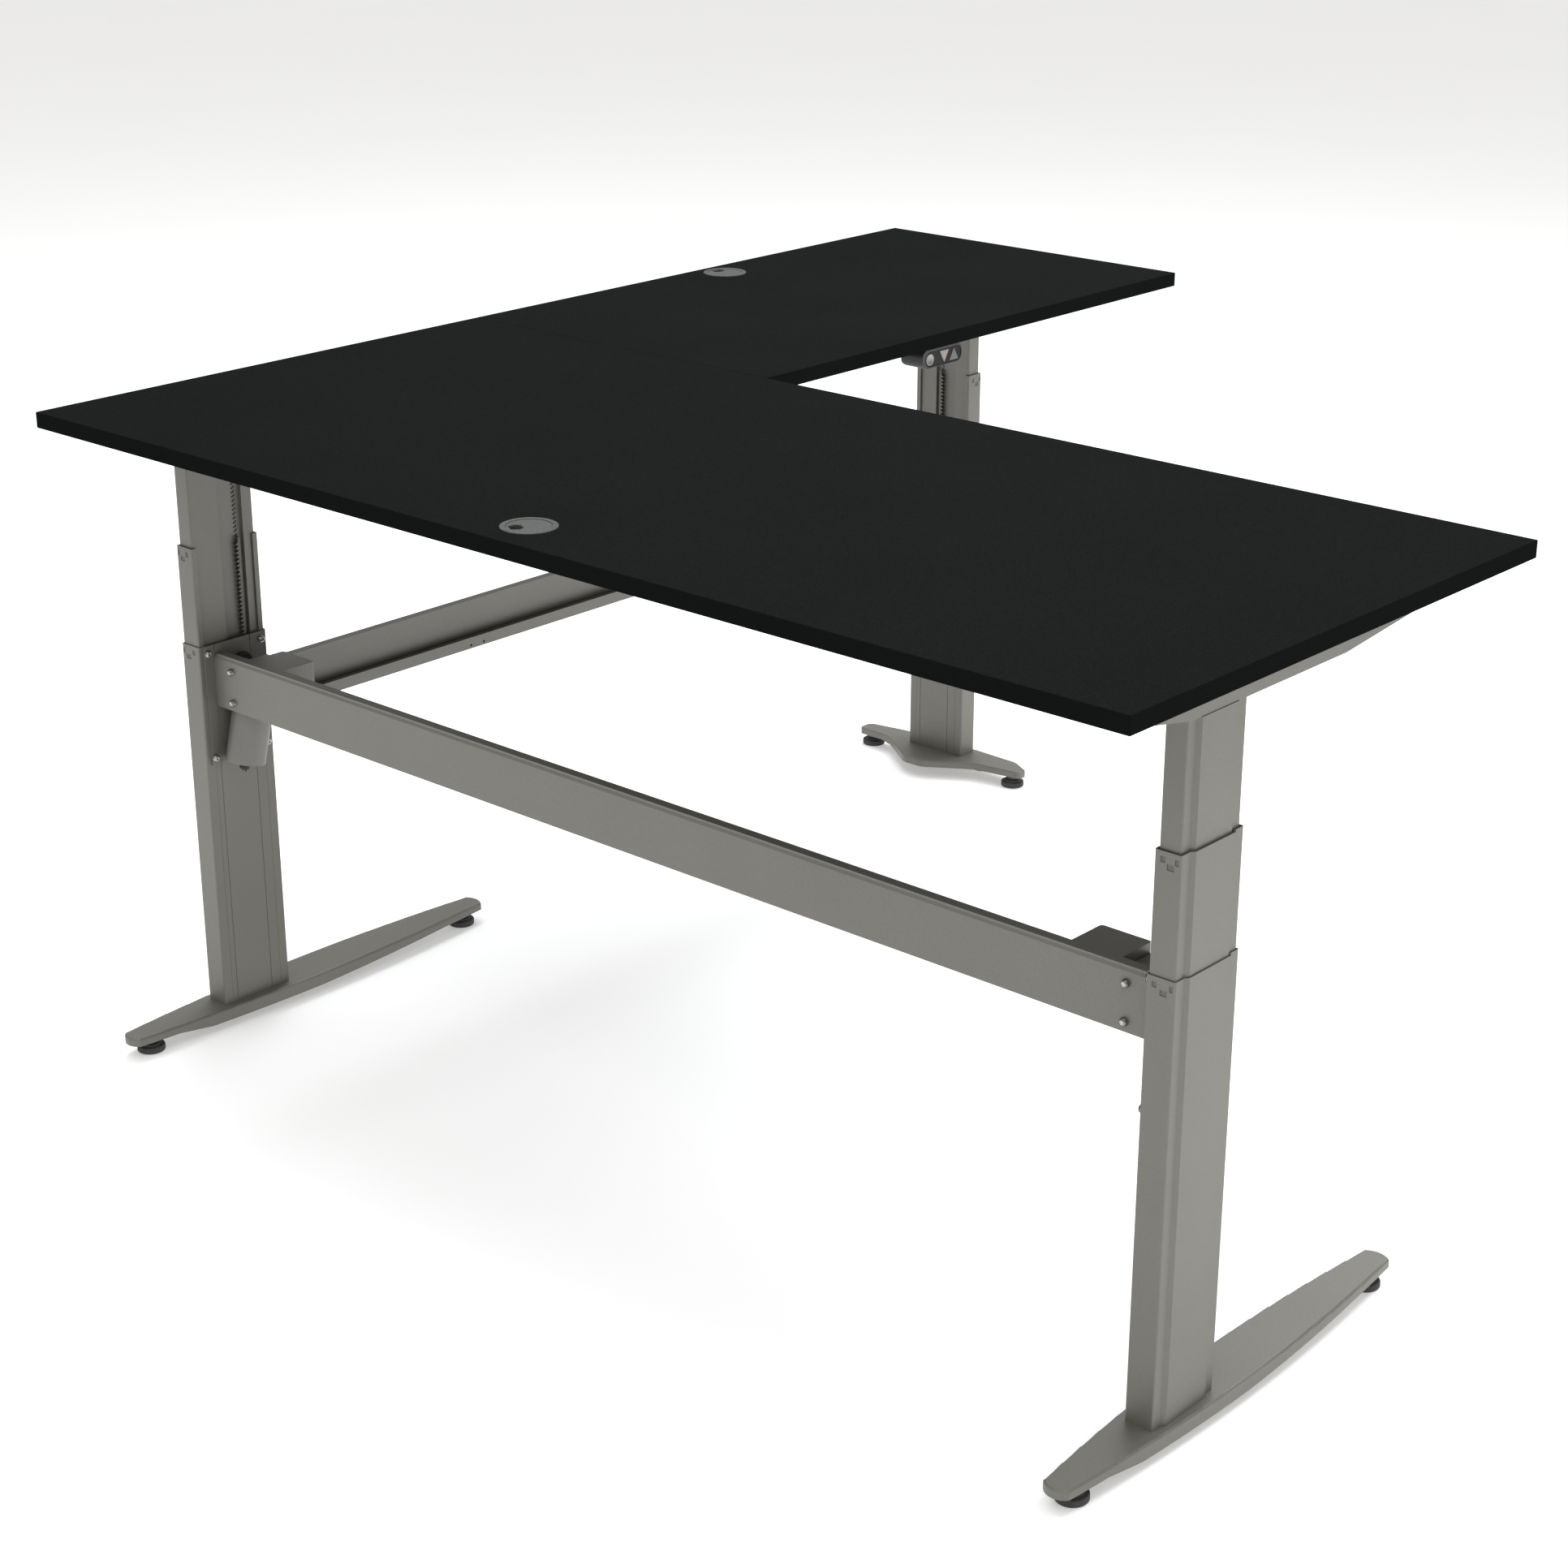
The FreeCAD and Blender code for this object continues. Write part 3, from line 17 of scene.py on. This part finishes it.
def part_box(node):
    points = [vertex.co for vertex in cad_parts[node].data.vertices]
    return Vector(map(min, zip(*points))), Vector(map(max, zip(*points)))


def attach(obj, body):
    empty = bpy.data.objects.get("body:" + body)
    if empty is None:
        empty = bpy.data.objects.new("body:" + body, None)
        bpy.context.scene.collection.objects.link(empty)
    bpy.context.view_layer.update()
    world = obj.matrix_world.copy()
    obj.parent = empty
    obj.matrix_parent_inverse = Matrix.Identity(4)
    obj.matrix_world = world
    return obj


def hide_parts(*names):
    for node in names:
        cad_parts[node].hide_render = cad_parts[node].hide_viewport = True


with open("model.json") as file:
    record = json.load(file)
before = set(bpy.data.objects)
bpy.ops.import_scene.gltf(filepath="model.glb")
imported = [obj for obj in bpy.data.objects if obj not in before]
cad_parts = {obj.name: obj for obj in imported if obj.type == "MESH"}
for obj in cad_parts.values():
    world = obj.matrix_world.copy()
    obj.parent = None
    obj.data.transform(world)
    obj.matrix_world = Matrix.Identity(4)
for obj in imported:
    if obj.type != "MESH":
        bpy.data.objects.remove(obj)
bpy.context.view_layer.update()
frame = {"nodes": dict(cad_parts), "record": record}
nodes = frame["nodes"]

# %% [markdown]
# ## The camera
# A camera is a position, an aim and a lens. The aim is easiest to give as three unit vectors: what
# is to the right, what is up and what lies behind the camera. They become the columns of its
# rotation matrix. A 67 mm lens on a 36 mm sensor keeps the desk's long edges from stretching, as a
# picture for a catalogue would.

# %% Camera
CAMERA_AT = Vector((2.42157, -3.09362, 1.90481))
TO_THE_RIGHT = Vector((0.744144, 0.668019, -0.000315))
UPWARDS = Vector((-0.241306, 0.269245, 0.932351))
BEHIND = Vector((0.622913, -0.693728, 0.361554))

camera = bpy.data.objects.new("camera", bpy.data.cameras.new("camera"))
camera.data.sensor_width = 36.0
camera.data.lens = 67.266
camera.data.clip_end = 60.0
camera.rotation_mode = "QUATERNION"
camera.location = CAMERA_AT
camera.rotation_quaternion = Matrix((TO_THE_RIGHT, UPWARDS, BEHIND)).transposed().to_quaternion()
bpy.context.scene.collection.objects.link(camera)
bpy.context.scene.camera = camera
print("camera looks along", [round(part, 3) for part in -BEHIND])


# %% [markdown]
# ## The studio
# A desk in a shop's catalogue stands on a nearly white sweep with light from all round, so its
# shadows are faint. A large plane is enough for the floor, because the camera looks down on it. The
# world gives the even light. A wide cool lamp overhead, a little towards the user's side, makes the
# faces that look up the lightest and lets the shadows fall towards the camera. One behind the desk
# reaches under the tops, and a smaller warm one on the right lifts the ends of the columns above
# their sides. The plain "Standard" view keeps white white; a film-like view would turn the sweep
# grey.

# %% Floor
def mesh_object(name, mesh):
    """Link a mesh to the scene as an object."""
    made = bpy.data.objects.new(name, mesh)
    bpy.context.scene.collection.objects.link(made)
    return made


floor_mesh = bpy.data.meshes.new("floor")
FLOOR_REACH = 14.0
floor_mesh.from_pydata([(x * FLOOR_REACH, y * FLOOR_REACH, 0.0) for x, y in
                        ((-1, -1), (1, -1), (1, 1), (-1, 1))], [], [(0, 1, 2, 3)])
floor = mesh_object("floor", floor_mesh)
FLOOR_DROP = 0.0004
floor.location.z = -FLOOR_DROP
print("floor", 2 * FLOOR_REACH, "m square")


# %% Lamps
def soft_lamp(name, place, target, size, power, colour):
    """A square area lamp that faces a point."""
    lamp = bpy.data.lights.new(name, "AREA")
    lamp.shape, lamp.size, lamp.energy, lamp.color = "SQUARE", size, power, colour
    made = bpy.data.objects.new(name, lamp)
    made.location = place
    made.rotation_mode = "QUATERNION"
    made.rotation_quaternion = (Vector(target) - Vector(place)).to_track_quat("-Z", "Y")
    bpy.context.scene.collection.objects.link(made)
    return made


DESK_MIDDLE = (0.0, 0.0, 0.5)
soft_lamp("overhead", (-0.3, 1.2, 4.6), DESK_MIDDLE, 5.0, 370.0, (0.95, 0.985, 1.0))
soft_lamp("behind_desk", (0.9, -3.0, 4.4), DESK_MIDDLE, 3.6, 66.0, (0.97, 1.0, 0.985))
soft_lamp("right_side", (5.4, 0.4, 1.9), DESK_MIDDLE, 2.6, 28.0, (1.0, 0.985, 0.95))

world = bpy.data.worlds.new("studio")
bpy.context.scene.world = world
world.use_nodes = True
sky = world.node_tree.nodes["Background"]
sky.inputs["Color"].default_value = (1.0, 0.99, 0.97, 1.0)
sky.inputs["Strength"].default_value = 0.56
bpy.context.scene.view_settings.view_transform = "Standard"


# %% [markdown]
# ## A small workshop for finishes
# Every finish here is a Principled shader fed by noise. Colour, roughness and height each get their
# own pattern at the size the real surface has, given as grains per metre. The patterns read object
# coordinates: each mesh keeps its own, so nothing slides when the desk rises. A link carries a
# value that varies over the surface, and a value that never varies is typed into its socket.

# %% Finish helpers
def new_finish(name, metallic, roughness, colour):
    """A material with a Principled shader and object coordinates to build on."""
    finish = bpy.data.materials.new(name)
    finish.use_nodes = True
    tree = finish.node_tree
    shader = tree.nodes["Principled BSDF"]
    shader.inputs["Metallic"].default_value = metallic
    shader.inputs["Roughness"].default_value = roughness
    shader.inputs["Base Color"].default_value = (*colour, 1.0)
    place = tree.nodes.new("ShaderNodeTexCoord").outputs["Object"]
    return finish, tree, shader, place


def grains(tree, place, per_metre, detail=2.0, stretch=(1.0, 1.0, 1.0)):
    """A noise pattern of that many grains per metre, stretched along an axis if asked."""
    if stretch != (1.0, 1.0, 1.0):
        mapping = tree.nodes.new("ShaderNodeMapping")
        mapping.inputs["Scale"].default_value = stretch
        tree.links.new(place, mapping.inputs["Vector"])
        place = mapping.outputs["Vector"]
    noise = tree.nodes.new("ShaderNodeTexNoise")
    noise.inputs["Scale"].default_value = per_metre
    noise.inputs["Detail"].default_value = detail
    tree.links.new(place, noise.inputs["Vector"])
    return noise.outputs["Fac"]


def tones(tree, pattern, low, high, dark, light):
    """Turn a pattern into colours, from dark below low to light above high."""
    ramp = tree.nodes.new("ShaderNodeValToRGB")
    ramp.color_ramp.elements[0].position = low
    ramp.color_ramp.elements[1].position = high
    ramp.color_ramp.elements[0].color = (*dark, 1.0)
    ramp.color_ramp.elements[1].color = (*light, 1.0)
    tree.links.new(pattern, ramp.inputs["Fac"])
    return ramp.outputs["Color"]


def spread(tree, pattern, low, high):
    """Turn a pattern into numbers between low and high."""
    scale = tree.nodes.new("ShaderNodeMapRange")
    scale.inputs["To Min"].default_value = low
    scale.inputs["To Max"].default_value = high
    tree.links.new(pattern, scale.inputs["Value"])
    return scale.outputs["Result"]


def blend_tones(tree, first, second):
    """Multiply one colour by another."""
    mix = tree.nodes.new("ShaderNodeMix")
    mix.data_type, mix.blend_type = "RGBA", "MULTIPLY"
    mix.inputs["Factor"].default_value = 1.0
    tree.links.new(first, mix.inputs["A"])
    tree.links.new(second, mix.inputs["B"])
    return mix.outputs["Result"]


def relief(tree, shader, pattern, strength, depth):
    """Give the surface a fine relief."""
    bump = tree.nodes.new("ShaderNodeBump")
    bump.inputs["Strength"].default_value = strength
    bump.inputs["Distance"].default_value = depth
    tree.links.new(pattern, bump.inputs["Height"])
    tree.links.new(bump.outputs["Normal"], shader.inputs["Normal"])


def shades(colour, darker, lighter):
    """The same colour a little darker and a little lighter."""
    return tuple(part * darker for part in colour), tuple(part * lighter for part in colour)


print("finish helpers ready")

# %% [markdown]
# ## Charcoal laminate
# The tops are boards with a hard, fine-grained skin. Close up the skin is a crowd of tiny flecks a
# little lighter and darker than the charcoal, with a pebbled relief that breaks up reflections. Two
# sizes of noise, one of about a millimetre and one of about a hand's width for faint unevenness,
# are multiplied together. The skin is very matt, so its specular level is turned far down; at a low
# angle the full level would mirror the white studio and wash the charcoal out.


# %% Laminate
def laminate(name):
    base = (0.0053, 0.0058, 0.0058)
    finish, tree, shader, place = new_finish(name, 0.0, 0.8, base)
    shader.inputs["Specular IOR Level"].default_value = 0.01
    fleck = tones(tree, grains(tree, place, 950.0, 3.0), 0.36, 0.68, *shades(base, 0.62, 1.75))
    cloud = tones(tree, grains(tree, place, 5.0), 0.3, 0.7, (0.90,) * 3, (1.0,) * 3)
    tree.links.new(blend_tones(tree, fleck, cloud), shader.inputs["Base Color"])
    tree.links.new(spread(tree, grains(tree, place, 300.0), 0.74, 0.88),
                   shader.inputs["Roughness"])
    relief(tree, shader, grains(tree, place, 1300.0, 1.0), 0.22, 0.0004)
    return finish


# %% [markdown]
# ## Silver powder coat
# Powder coat is baked paint with a slight orange-peel skin and, here, a little metal dust in it.
# The dust makes faces that turn towards the light brighten more than plain paint would, so the
# shader is partly metallic. Three layers of noise do the rest: dust flecks under a millimetre,
# orange peel of about two millimetres in the relief, and broad soft patches.


# %% Powder coat
def powder_coat(name, base=(0.142, 0.134, 0.115), metallic=0.10):
    finish, tree, shader, place = new_finish(name, metallic, 0.45, base)
    shader.inputs["Specular IOR Level"].default_value = 0.85
    dust = tones(tree, grains(tree, place, 1500.0, 2.0), 0.34, 0.70, *shades(base, 0.86, 1.17))
    patch = tones(tree, grains(tree, place, 7.0), 0.3, 0.7, (0.94, 0.94, 0.94), (1.0, 1.0, 1.0))
    tree.links.new(blend_tones(tree, dust, patch), shader.inputs["Base Color"])
    tree.links.new(spread(tree, grains(tree, place, 420.0), 0.40, 0.54),
                   shader.inputs["Roughness"])
    relief(tree, shader, grains(tree, place, 520.0, 2.0), 0.16, 0.0006)
    return finish


# %% [markdown]
# ## Bare metals
# Racks and pinions are cut steel: long fine streaks along the bar, made by squeezing the noise in
# two directions. Screws are plated, a little brighter than the paint, with only a breath of
# unevenness.


# %% Steel
def drawn_steel(name, base, stretch, roughness):
    finish, tree, shader, place = new_finish(name, 1.0, roughness, base)
    streak = tones(tree, grains(tree, place, 900.0, 3.0, stretch), 0.3, 0.7,
                   *shades(base, 0.78, 1.12))
    tree.links.new(streak, shader.inputs["Base Color"])
    tree.links.new(spread(tree, grains(tree, place, 240.0, 2.0, stretch),
                          roughness - 0.07, roughness + 0.10), shader.inputs["Roughness"])
    relief(tree, shader, grains(tree, place, 1100.0, 1.0, stretch), 0.10, 0.0002)
    return finish


# %% [markdown]
# ## Moulded plastics
# Pads, knobs, housings and the handset are moulded with a spark-eroded texture: a fine grain that
# takes the shine off. One maker serves them all, told the colour, the coarseness, how much the
# flecks differ and how much the surface mirrors. The grommets and the handset's film mirror least.


# %% Plastics
def moulded(name, base, per_metre=1600.0, roughness=0.5, flecks=(0.82, 1.22), shine=0.5):
    finish, tree, shader, place = new_finish(name, 0.0, roughness, base)
    shader.inputs["Specular IOR Level"].default_value = shine
    skin = tones(tree, grains(tree, place, per_metre, 2.0), 0.34, 0.68, *shades(base, *flecks))
    tree.links.new(skin, shader.inputs["Base Color"])
    tree.links.new(spread(tree, grains(tree, place, per_metre / 4), roughness - 0.07,
                          roughness + 0.08), shader.inputs["Roughness"])
    relief(tree, shader, grains(tree, place, per_metre * 0.8, 1.0), 0.18, 0.0003)
    return finish


# %% Make the finishes
FINISHES = {
    "desktop_laminate": laminate("charcoal_laminate"),
    "frame_silver": powder_coat("silver_powder_coat"),
    "motor_silver": powder_coat("motor_can_paint", (0.185, 0.181, 0.170), 0.35),
    "gear_steel": drawn_steel("cut_steel", (0.165, 0.160, 0.146), (1.0, 1.0, 0.05), 0.6),
    "screw_steel": drawn_steel("plated_steel", (0.44, 0.425, 0.40), (1.0, 1.0, 1.0), 0.32),
    "plate_steel": drawn_steel("zinc_plate", (0.46, 0.46, 0.45), (0.2, 1.0, 1.0), 0.42),
    "glide_plastic": moulded("glide_plastic", (0.105, 0.104, 0.100)),
    "pad_plastic": moulded("pad_plastic", (0.046, 0.046, 0.047), 900.0, 0.58),
    "black_plastic": moulded("black_plastic", (0.014, 0.014, 0.014), 1200.0, 0.46),
    "grommet_grey": moulded("grommet_plastic", (0.060, 0.060, 0.058), 900.0, 0.6, (0.60, 1.60),
                            0.08),
    "case_dark": moulded("case_plastic", (0.022, 0.022, 0.023), 1500.0, 0.48),
    "panel_gloss": moulded("panel_film", (0.017, 0.017, 0.018), 700.0, 0.5, (0.45, 1.9), 0.12),
    "button_grey": moulded("button_plastic", (0.115, 0.108, 0.104), 1800.0, 0.42, (0.93, 1.07)),
    "button_rose": moulded("button_rose_plastic", (0.26, 0.22, 0.205), 1800.0, 0.40, (0.93, 1.07)),
    "button_metal": drawn_steel("button_rim_metal", (0.27, 0.265, 0.26), (1.0, 1.0, 1.0), 0.32),
}
slot_of = {entry["node"]: entry["material_slot"] for entry in frame["record"]["subparts"]}


def dress(piece, finish):
    """Give a mesh one finish all over."""
    piece.data.materials.clear()
    piece.data.materials.append(finish)
    return piece


for name, piece in nodes.items():
    dress(piece, FINISHES[slot_of[name]])
print("finishes", len(FINISHES), "nodes dressed", len(nodes))

# %% [markdown]
# ## The sweep's own finish
# The floor is a matt near-white with the faintest unevenness. It also glows a little, so that the
# part of it that the desk shades stays close to white.

# %% Floor finish
SWEEP_GLOW = 0.30
sweep, sweep_tree, sweep_shader, sweep_place = new_finish("studio_floor", 0.0, 0.62,
                                                          (0.90, 0.90, 0.90))
sweep_shader.inputs["Emission Color"].default_value = (1.0, 1.0, 1.0, 1.0)
sweep_shader.inputs["Emission Strength"].default_value = SWEEP_GLOW
tint = tones(sweep_tree, grains(sweep_tree, sweep_place, 1.5), 0.3, 0.7, (0.905, 0.905, 0.905),
             (0.92, 0.92, 0.92))
sweep_tree.links.new(tint, sweep_shader.inputs["Base Color"])
dress(floor, sweep)
print("floor finish", sweep.name)


# %% [markdown]
# ## Turned pieces
# Levelling pads, bearing caps and screw heads are all turned or moulded about an axis. A lathe in
# code is a list of (radius, height) points swept round in steps. If a ring of points is marked as
# ribbed, its radius rises and falls as it goes round, which makes the grip of a knob; a hexagon in
# place of the circle makes the socket of a screw.

# %% Lathe
STEPS_PER_RIB = 6


def hexagon(angle, radius):
    """How far a hexagon's side is from its centre at an angle."""
    sector = (angle + math.pi / 6) % (math.pi / 3) - math.pi / 6
    return radius / math.cos(sector)


def turned(outline, ribs=48, rib_depth=0.0, closed=False):
    """A mesh swept round +Z from (radius, height, kind) points; kind is "", "rib" or "hex"."""
    made = bmesh.new()
    steps = ribs * STEPS_PER_RIB
    rings = []
    for radius, height, kind in outline:
        ring = []
        for step in range(steps):
            angle = 2 * math.pi * step / steps
            here = radius
            if kind == "rib":
                here -= rib_depth * (0.5 - 0.5 * math.cos(angle * ribs)) ** 2
            elif kind == "hex":
                here = hexagon(angle, radius)
            ring.append(made.verts.new((here * math.cos(angle), here * math.sin(angle), height)))
        rings.append(ring)
    pairs = list(zip(rings, rings[1:]))
    if closed:
        pairs.append((rings[-1], rings[0]))
    for low, high in pairs:
        for step in range(steps):
            after = (step + 1) % steps
            made.faces.new((low[step], low[after], high[after], high[step]))
    if not closed:
        made.faces.new(list(reversed(rings[0])))
        made.faces.new(rings[-1])
    bmesh.ops.recalc_face_normals(made, faces=made.faces)
    return made


def finish_piece(name, made, finish, smooth_angle=35.0):
    """Turn a bmesh into a dressed object with smooth faces and crisp edges."""
    mesh = bpy.data.meshes.new(name)
    made.to_mesh(mesh)
    made.free()
    for polygon in mesh.polygons:
        polygon.use_smooth = True
    mesh.set_sharp_from_angle(angle=math.radians(smooth_angle))
    return dress(mesh_object(name, mesh), finish)


def gather(target, part, matrix):
    """Copy one bmesh into another, moved by a matrix, and throw the first away."""
    bmesh.ops.transform(part, matrix=matrix, verts=part.verts)
    spare = bpy.data.meshes.new("spare")
    part.to_mesh(spare)
    part.free()
    target.from_mesh(spare)
    bpy.data.meshes.remove(spare)


print("a ring with 40 ribs has", 40 * STEPS_PER_RIB, "points")

# %% [markdown]
# ## Levelling pads
# Six dark pads carry the desk. Each is a ribbed disc that a hand can turn, a stepped collar above
# it and a short threaded stud that goes up into the foot. The frame has them as plain cylinders, so
# a turned piece with real ribs takes the place of each one and rides on the same body.

# %% Pads
MM = 0.001


def in_metres(outline):
    """An outline written in millimetres, for the lathe."""
    return [(radius * MM, height * MM, kind) for radius, height, kind in outline]


PAD_OUTLINE = [
    (17.6, 0.0, ""), (19.2, 0.25, ""), (20.2, 1.3, "rib"), (20.2, 7.6, "rib"), (19.6, 8.9, "rib"),
    (18.2, 9.5, ""), (14.8, 9.7, ""), (14.2, 10.1, ""), (14.0, 12.0, ""), (13.4, 12.5, ""),
    (10.2, 12.7, ""), (9.75, 13.1, ""), (9.7, 20.1, ""), (9.4, 20.38, ""), (4.0, 20.39, ""),
    (4.0, 28.4, ""), (3.4, 29.0, ""),
]
pad_names = sorted(name for name in nodes if name.startswith("levelling_foot_"))
for name in pad_names:
    low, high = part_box(name)
    centre = (low + high) / 2
    outline = in_metres(PAD_OUTLINE)
    pad = finish_piece(name.replace("levelling_foot", "ribbed_pad"),
                       turned(outline, 44, 0.9 * MM), FINISHES["pad_plastic"])
    pad.location = (centre.x, centre.y, low.z)
    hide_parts(name)
    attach(pad, name + "_body")
print("pads", len(pad_names), "of radius", PAD_OUTLINE[2][0], "mm")

# %% [markdown]
# ## Bearing caps
# A black ribbed cap sits on each gear plate where the pinion's shaft comes out of the column. It
# has a raised rim and a hole for the shaft, so its outline is a closed loop that never reaches the
# axis. The three caps face three ways; each is turned from +Z to its own direction.

# %% Caps
CAP_OUTLINE = [
    (5.05, 0.0, ""), (17.0, 0.0, ""), (17.9, 0.5, "rib"), (18.0, 1.2, "rib"), (18.0, 5.8, "rib"),
    (17.2, 6.6, "rib"), (15.6, 6.9, ""), (14.8, 6.2, ""), (11.2, 6.2, ""), (10.4, 6.9, ""),
    (10.0, 8.1, ""), (9.4, 8.5, ""), (5.6, 8.5, ""), (5.05, 8.0, ""),
]
ONTO_X = Quaternion((0, 1, 0), math.radians(90)).to_matrix().to_4x4()
ONTO_MINUS_X = Quaternion((0, 1, 0), math.radians(-90)).to_matrix().to_4x4()
ONTO_MINUS_Y = Quaternion((1, 0, 0), math.radians(90)).to_matrix().to_4x4()


def pinion_centre(side):
    """The middle of a pinion node's box."""
    low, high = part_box("pinion_" + side)
    return (low + high) / 2


caps_low, caps_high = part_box("bearing_caps")
CAP_SPOTS = {
    "left": (Vector((caps_low.x, pinion_centre("left").y, pinion_centre("left").z)), ONTO_X),
    "right": (Vector((caps_high.x, pinion_centre("right").y, pinion_centre("right").z)),
              ONTO_MINUS_X),
    "side": (Vector((pinion_centre("side").x, caps_high.y, pinion_centre("side").z)),
             ONTO_MINUS_Y),
}
caps = bmesh.new()
for spot, turn in CAP_SPOTS.values():
    outline = in_metres(CAP_OUTLINE)
    gather(caps, turned(outline, 36, 1.0 * MM, closed=True), Matrix.Translation(spot) @ turn)
bearing_caps = finish_piece("ribbed_bearing_caps", caps, FINISHES["black_plastic"])
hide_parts("bearing_caps")
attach(bearing_caps, "base")
print("bearing caps", len(CAP_SPOTS), "at height", round(pinion_centre("left").z, 4))

# %% [markdown]
# ## Button-head screws
# The screws have low domed heads with a hexagonal socket. The frame holds
# each as a cone on a rod, many to a node. Their meshes tell where they go: each loose screw has two
# equal widths and one odd one, which is its axis, and its widest ring is the underside of the head.
# A turned screw is then set down at each place, and one mesh holds all the screws of a node.

# %% Find the screws
HEAD_RADIUS = 5.2
HEAD_HEIGHT = 2.6


def loose_parts(mesh):
    """The points of each separate solid in a mesh."""
    links = {index: [] for index in range(len(mesh.vertices))}
    for edge in mesh.edges:
        links[edge.vertices[0]].append(edge.vertices[1])
        links[edge.vertices[1]].append(edge.vertices[0])
    waiting = set(links)
    while waiting:
        start = waiting.pop()
        found, frontier = [start], [start]
        while frontier:
            for after in links[frontier.pop()]:
                if after in waiting:
                    waiting.discard(after)
                    found.append(after)
                    frontier.append(after)
        yield [mesh.vertices[index].co.copy() for index in found]


def screw_spots(name):
    """Where each screw of a node sits: its head's underside, its outward direction, its grip."""
    for points in loose_parts(nodes[name].data):
        lows = [min(point[axis] for point in points) for axis in range(3)]
        highs = [max(point[axis] for point in points) for axis in range(3)]
        lengths = [high - low for low, high in zip(lows, highs)]
        axis = max(range(3), key=lambda pick: abs(lengths[pick] - 2 * HEAD_RADIUS * MM))
        middle = Vector([(low + high) / 2 for low, high in zip(lows, highs)])
        rim = max(points, key=lambda point: sum((point[other] - middle[other]) ** 2
                                                for other in range(3) if other != axis))
        outward = Vector((0, 0, 0))
        outward[axis] = 1.0 if highs[axis] - rim[axis] < rim[axis] - lows[axis] else -1.0
        middle[axis] = rim[axis]
        yield middle, outward, lengths[axis] - HEAD_HEIGHT * MM


print("frame screws", len(list(screw_spots("frame_screws"))))

# %% Turn the screws
SHANK_RADIUS = 2.9
SHANK_TIP_RADIUS = 2.6
SHANK_CHAMFER = 0.3
SCREW_HEAD = [
    (2.9, 0.0, ""), (4.95, 0.0, ""), (5.2, 0.18, ""), (5.15, 0.7, ""), (4.75, 1.45, ""),
    (4.05, 2.1, ""), (3.2, 2.48, ""), (2.3, 2.6, ""), (1.85, 2.5, "hex"), (1.7, 2.3, "hex"),
    (1.7, 0.9, "hex"),
]
for name in ("frame_screws", "top_screws"):
    made = bmesh.new()
    spots = list(screw_spots(name))
    for spot, outward, grip in spots:
        outline = [(SHANK_TIP_RADIUS * MM, -grip, ""),
                   (SHANK_RADIUS * MM, -grip + SHANK_CHAMFER * MM, "")]
        outline += in_metres(SCREW_HEAD)
        turn = outward.to_track_quat("Z", "Y").to_matrix().to_4x4()
        gather(made, turned(outline, 8), Matrix.Translation(spot) @ turn)
    screws = finish_piece("button_head_" + name, made, FINISHES["screw_steel"], 30.0)
    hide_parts(name)
    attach(screws, "desk" if name == "top_screws" else "base")
    print(name, len(spots))

# %% [markdown]
# ## The ring button
# The handset's round button is a metal rim round a hollow that a fingertip finds. The dish
# is the lathe's work again: the outline climbs the outside, turns over a rounded rim and runs down
# into a shallow bowl.

# %% Ring button
ring_low, ring_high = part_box("button_ring")
ring_radius = (ring_high.z - ring_low.z) / 2
ring_depth = ring_high.x - ring_low.x
RIM = [(1.0, -0.9), (1.0, -0.6), (0.975, -0.25), (0.92, -0.06), (0.86, 0.0), (0.80, -0.05),
       (0.745, -0.28), (0.66, -0.62), (0.52, -0.95), (0.34, -1.18), (0.16, -1.28), (0.02, -1.30)]
outline = [(ring_radius, -ring_depth, "")]
outline += [(ring_radius * share, height * MM, "") for share, height in RIM]
ring_spot = Vector((ring_high.x, (ring_low.y + ring_high.y) / 2, (ring_low.z + ring_high.z) / 2))
ring_mesh = bmesh.new()
gather(ring_mesh, turned(outline, 16), Matrix.Translation(ring_spot) @ ONTO_X)
ring_button = finish_piece("dished_ring_button", ring_mesh, FINISHES["button_metal"])
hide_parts("button_ring")
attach(ring_button, "button_ring_body")
print("ring button radius", round(ring_radius, 4))
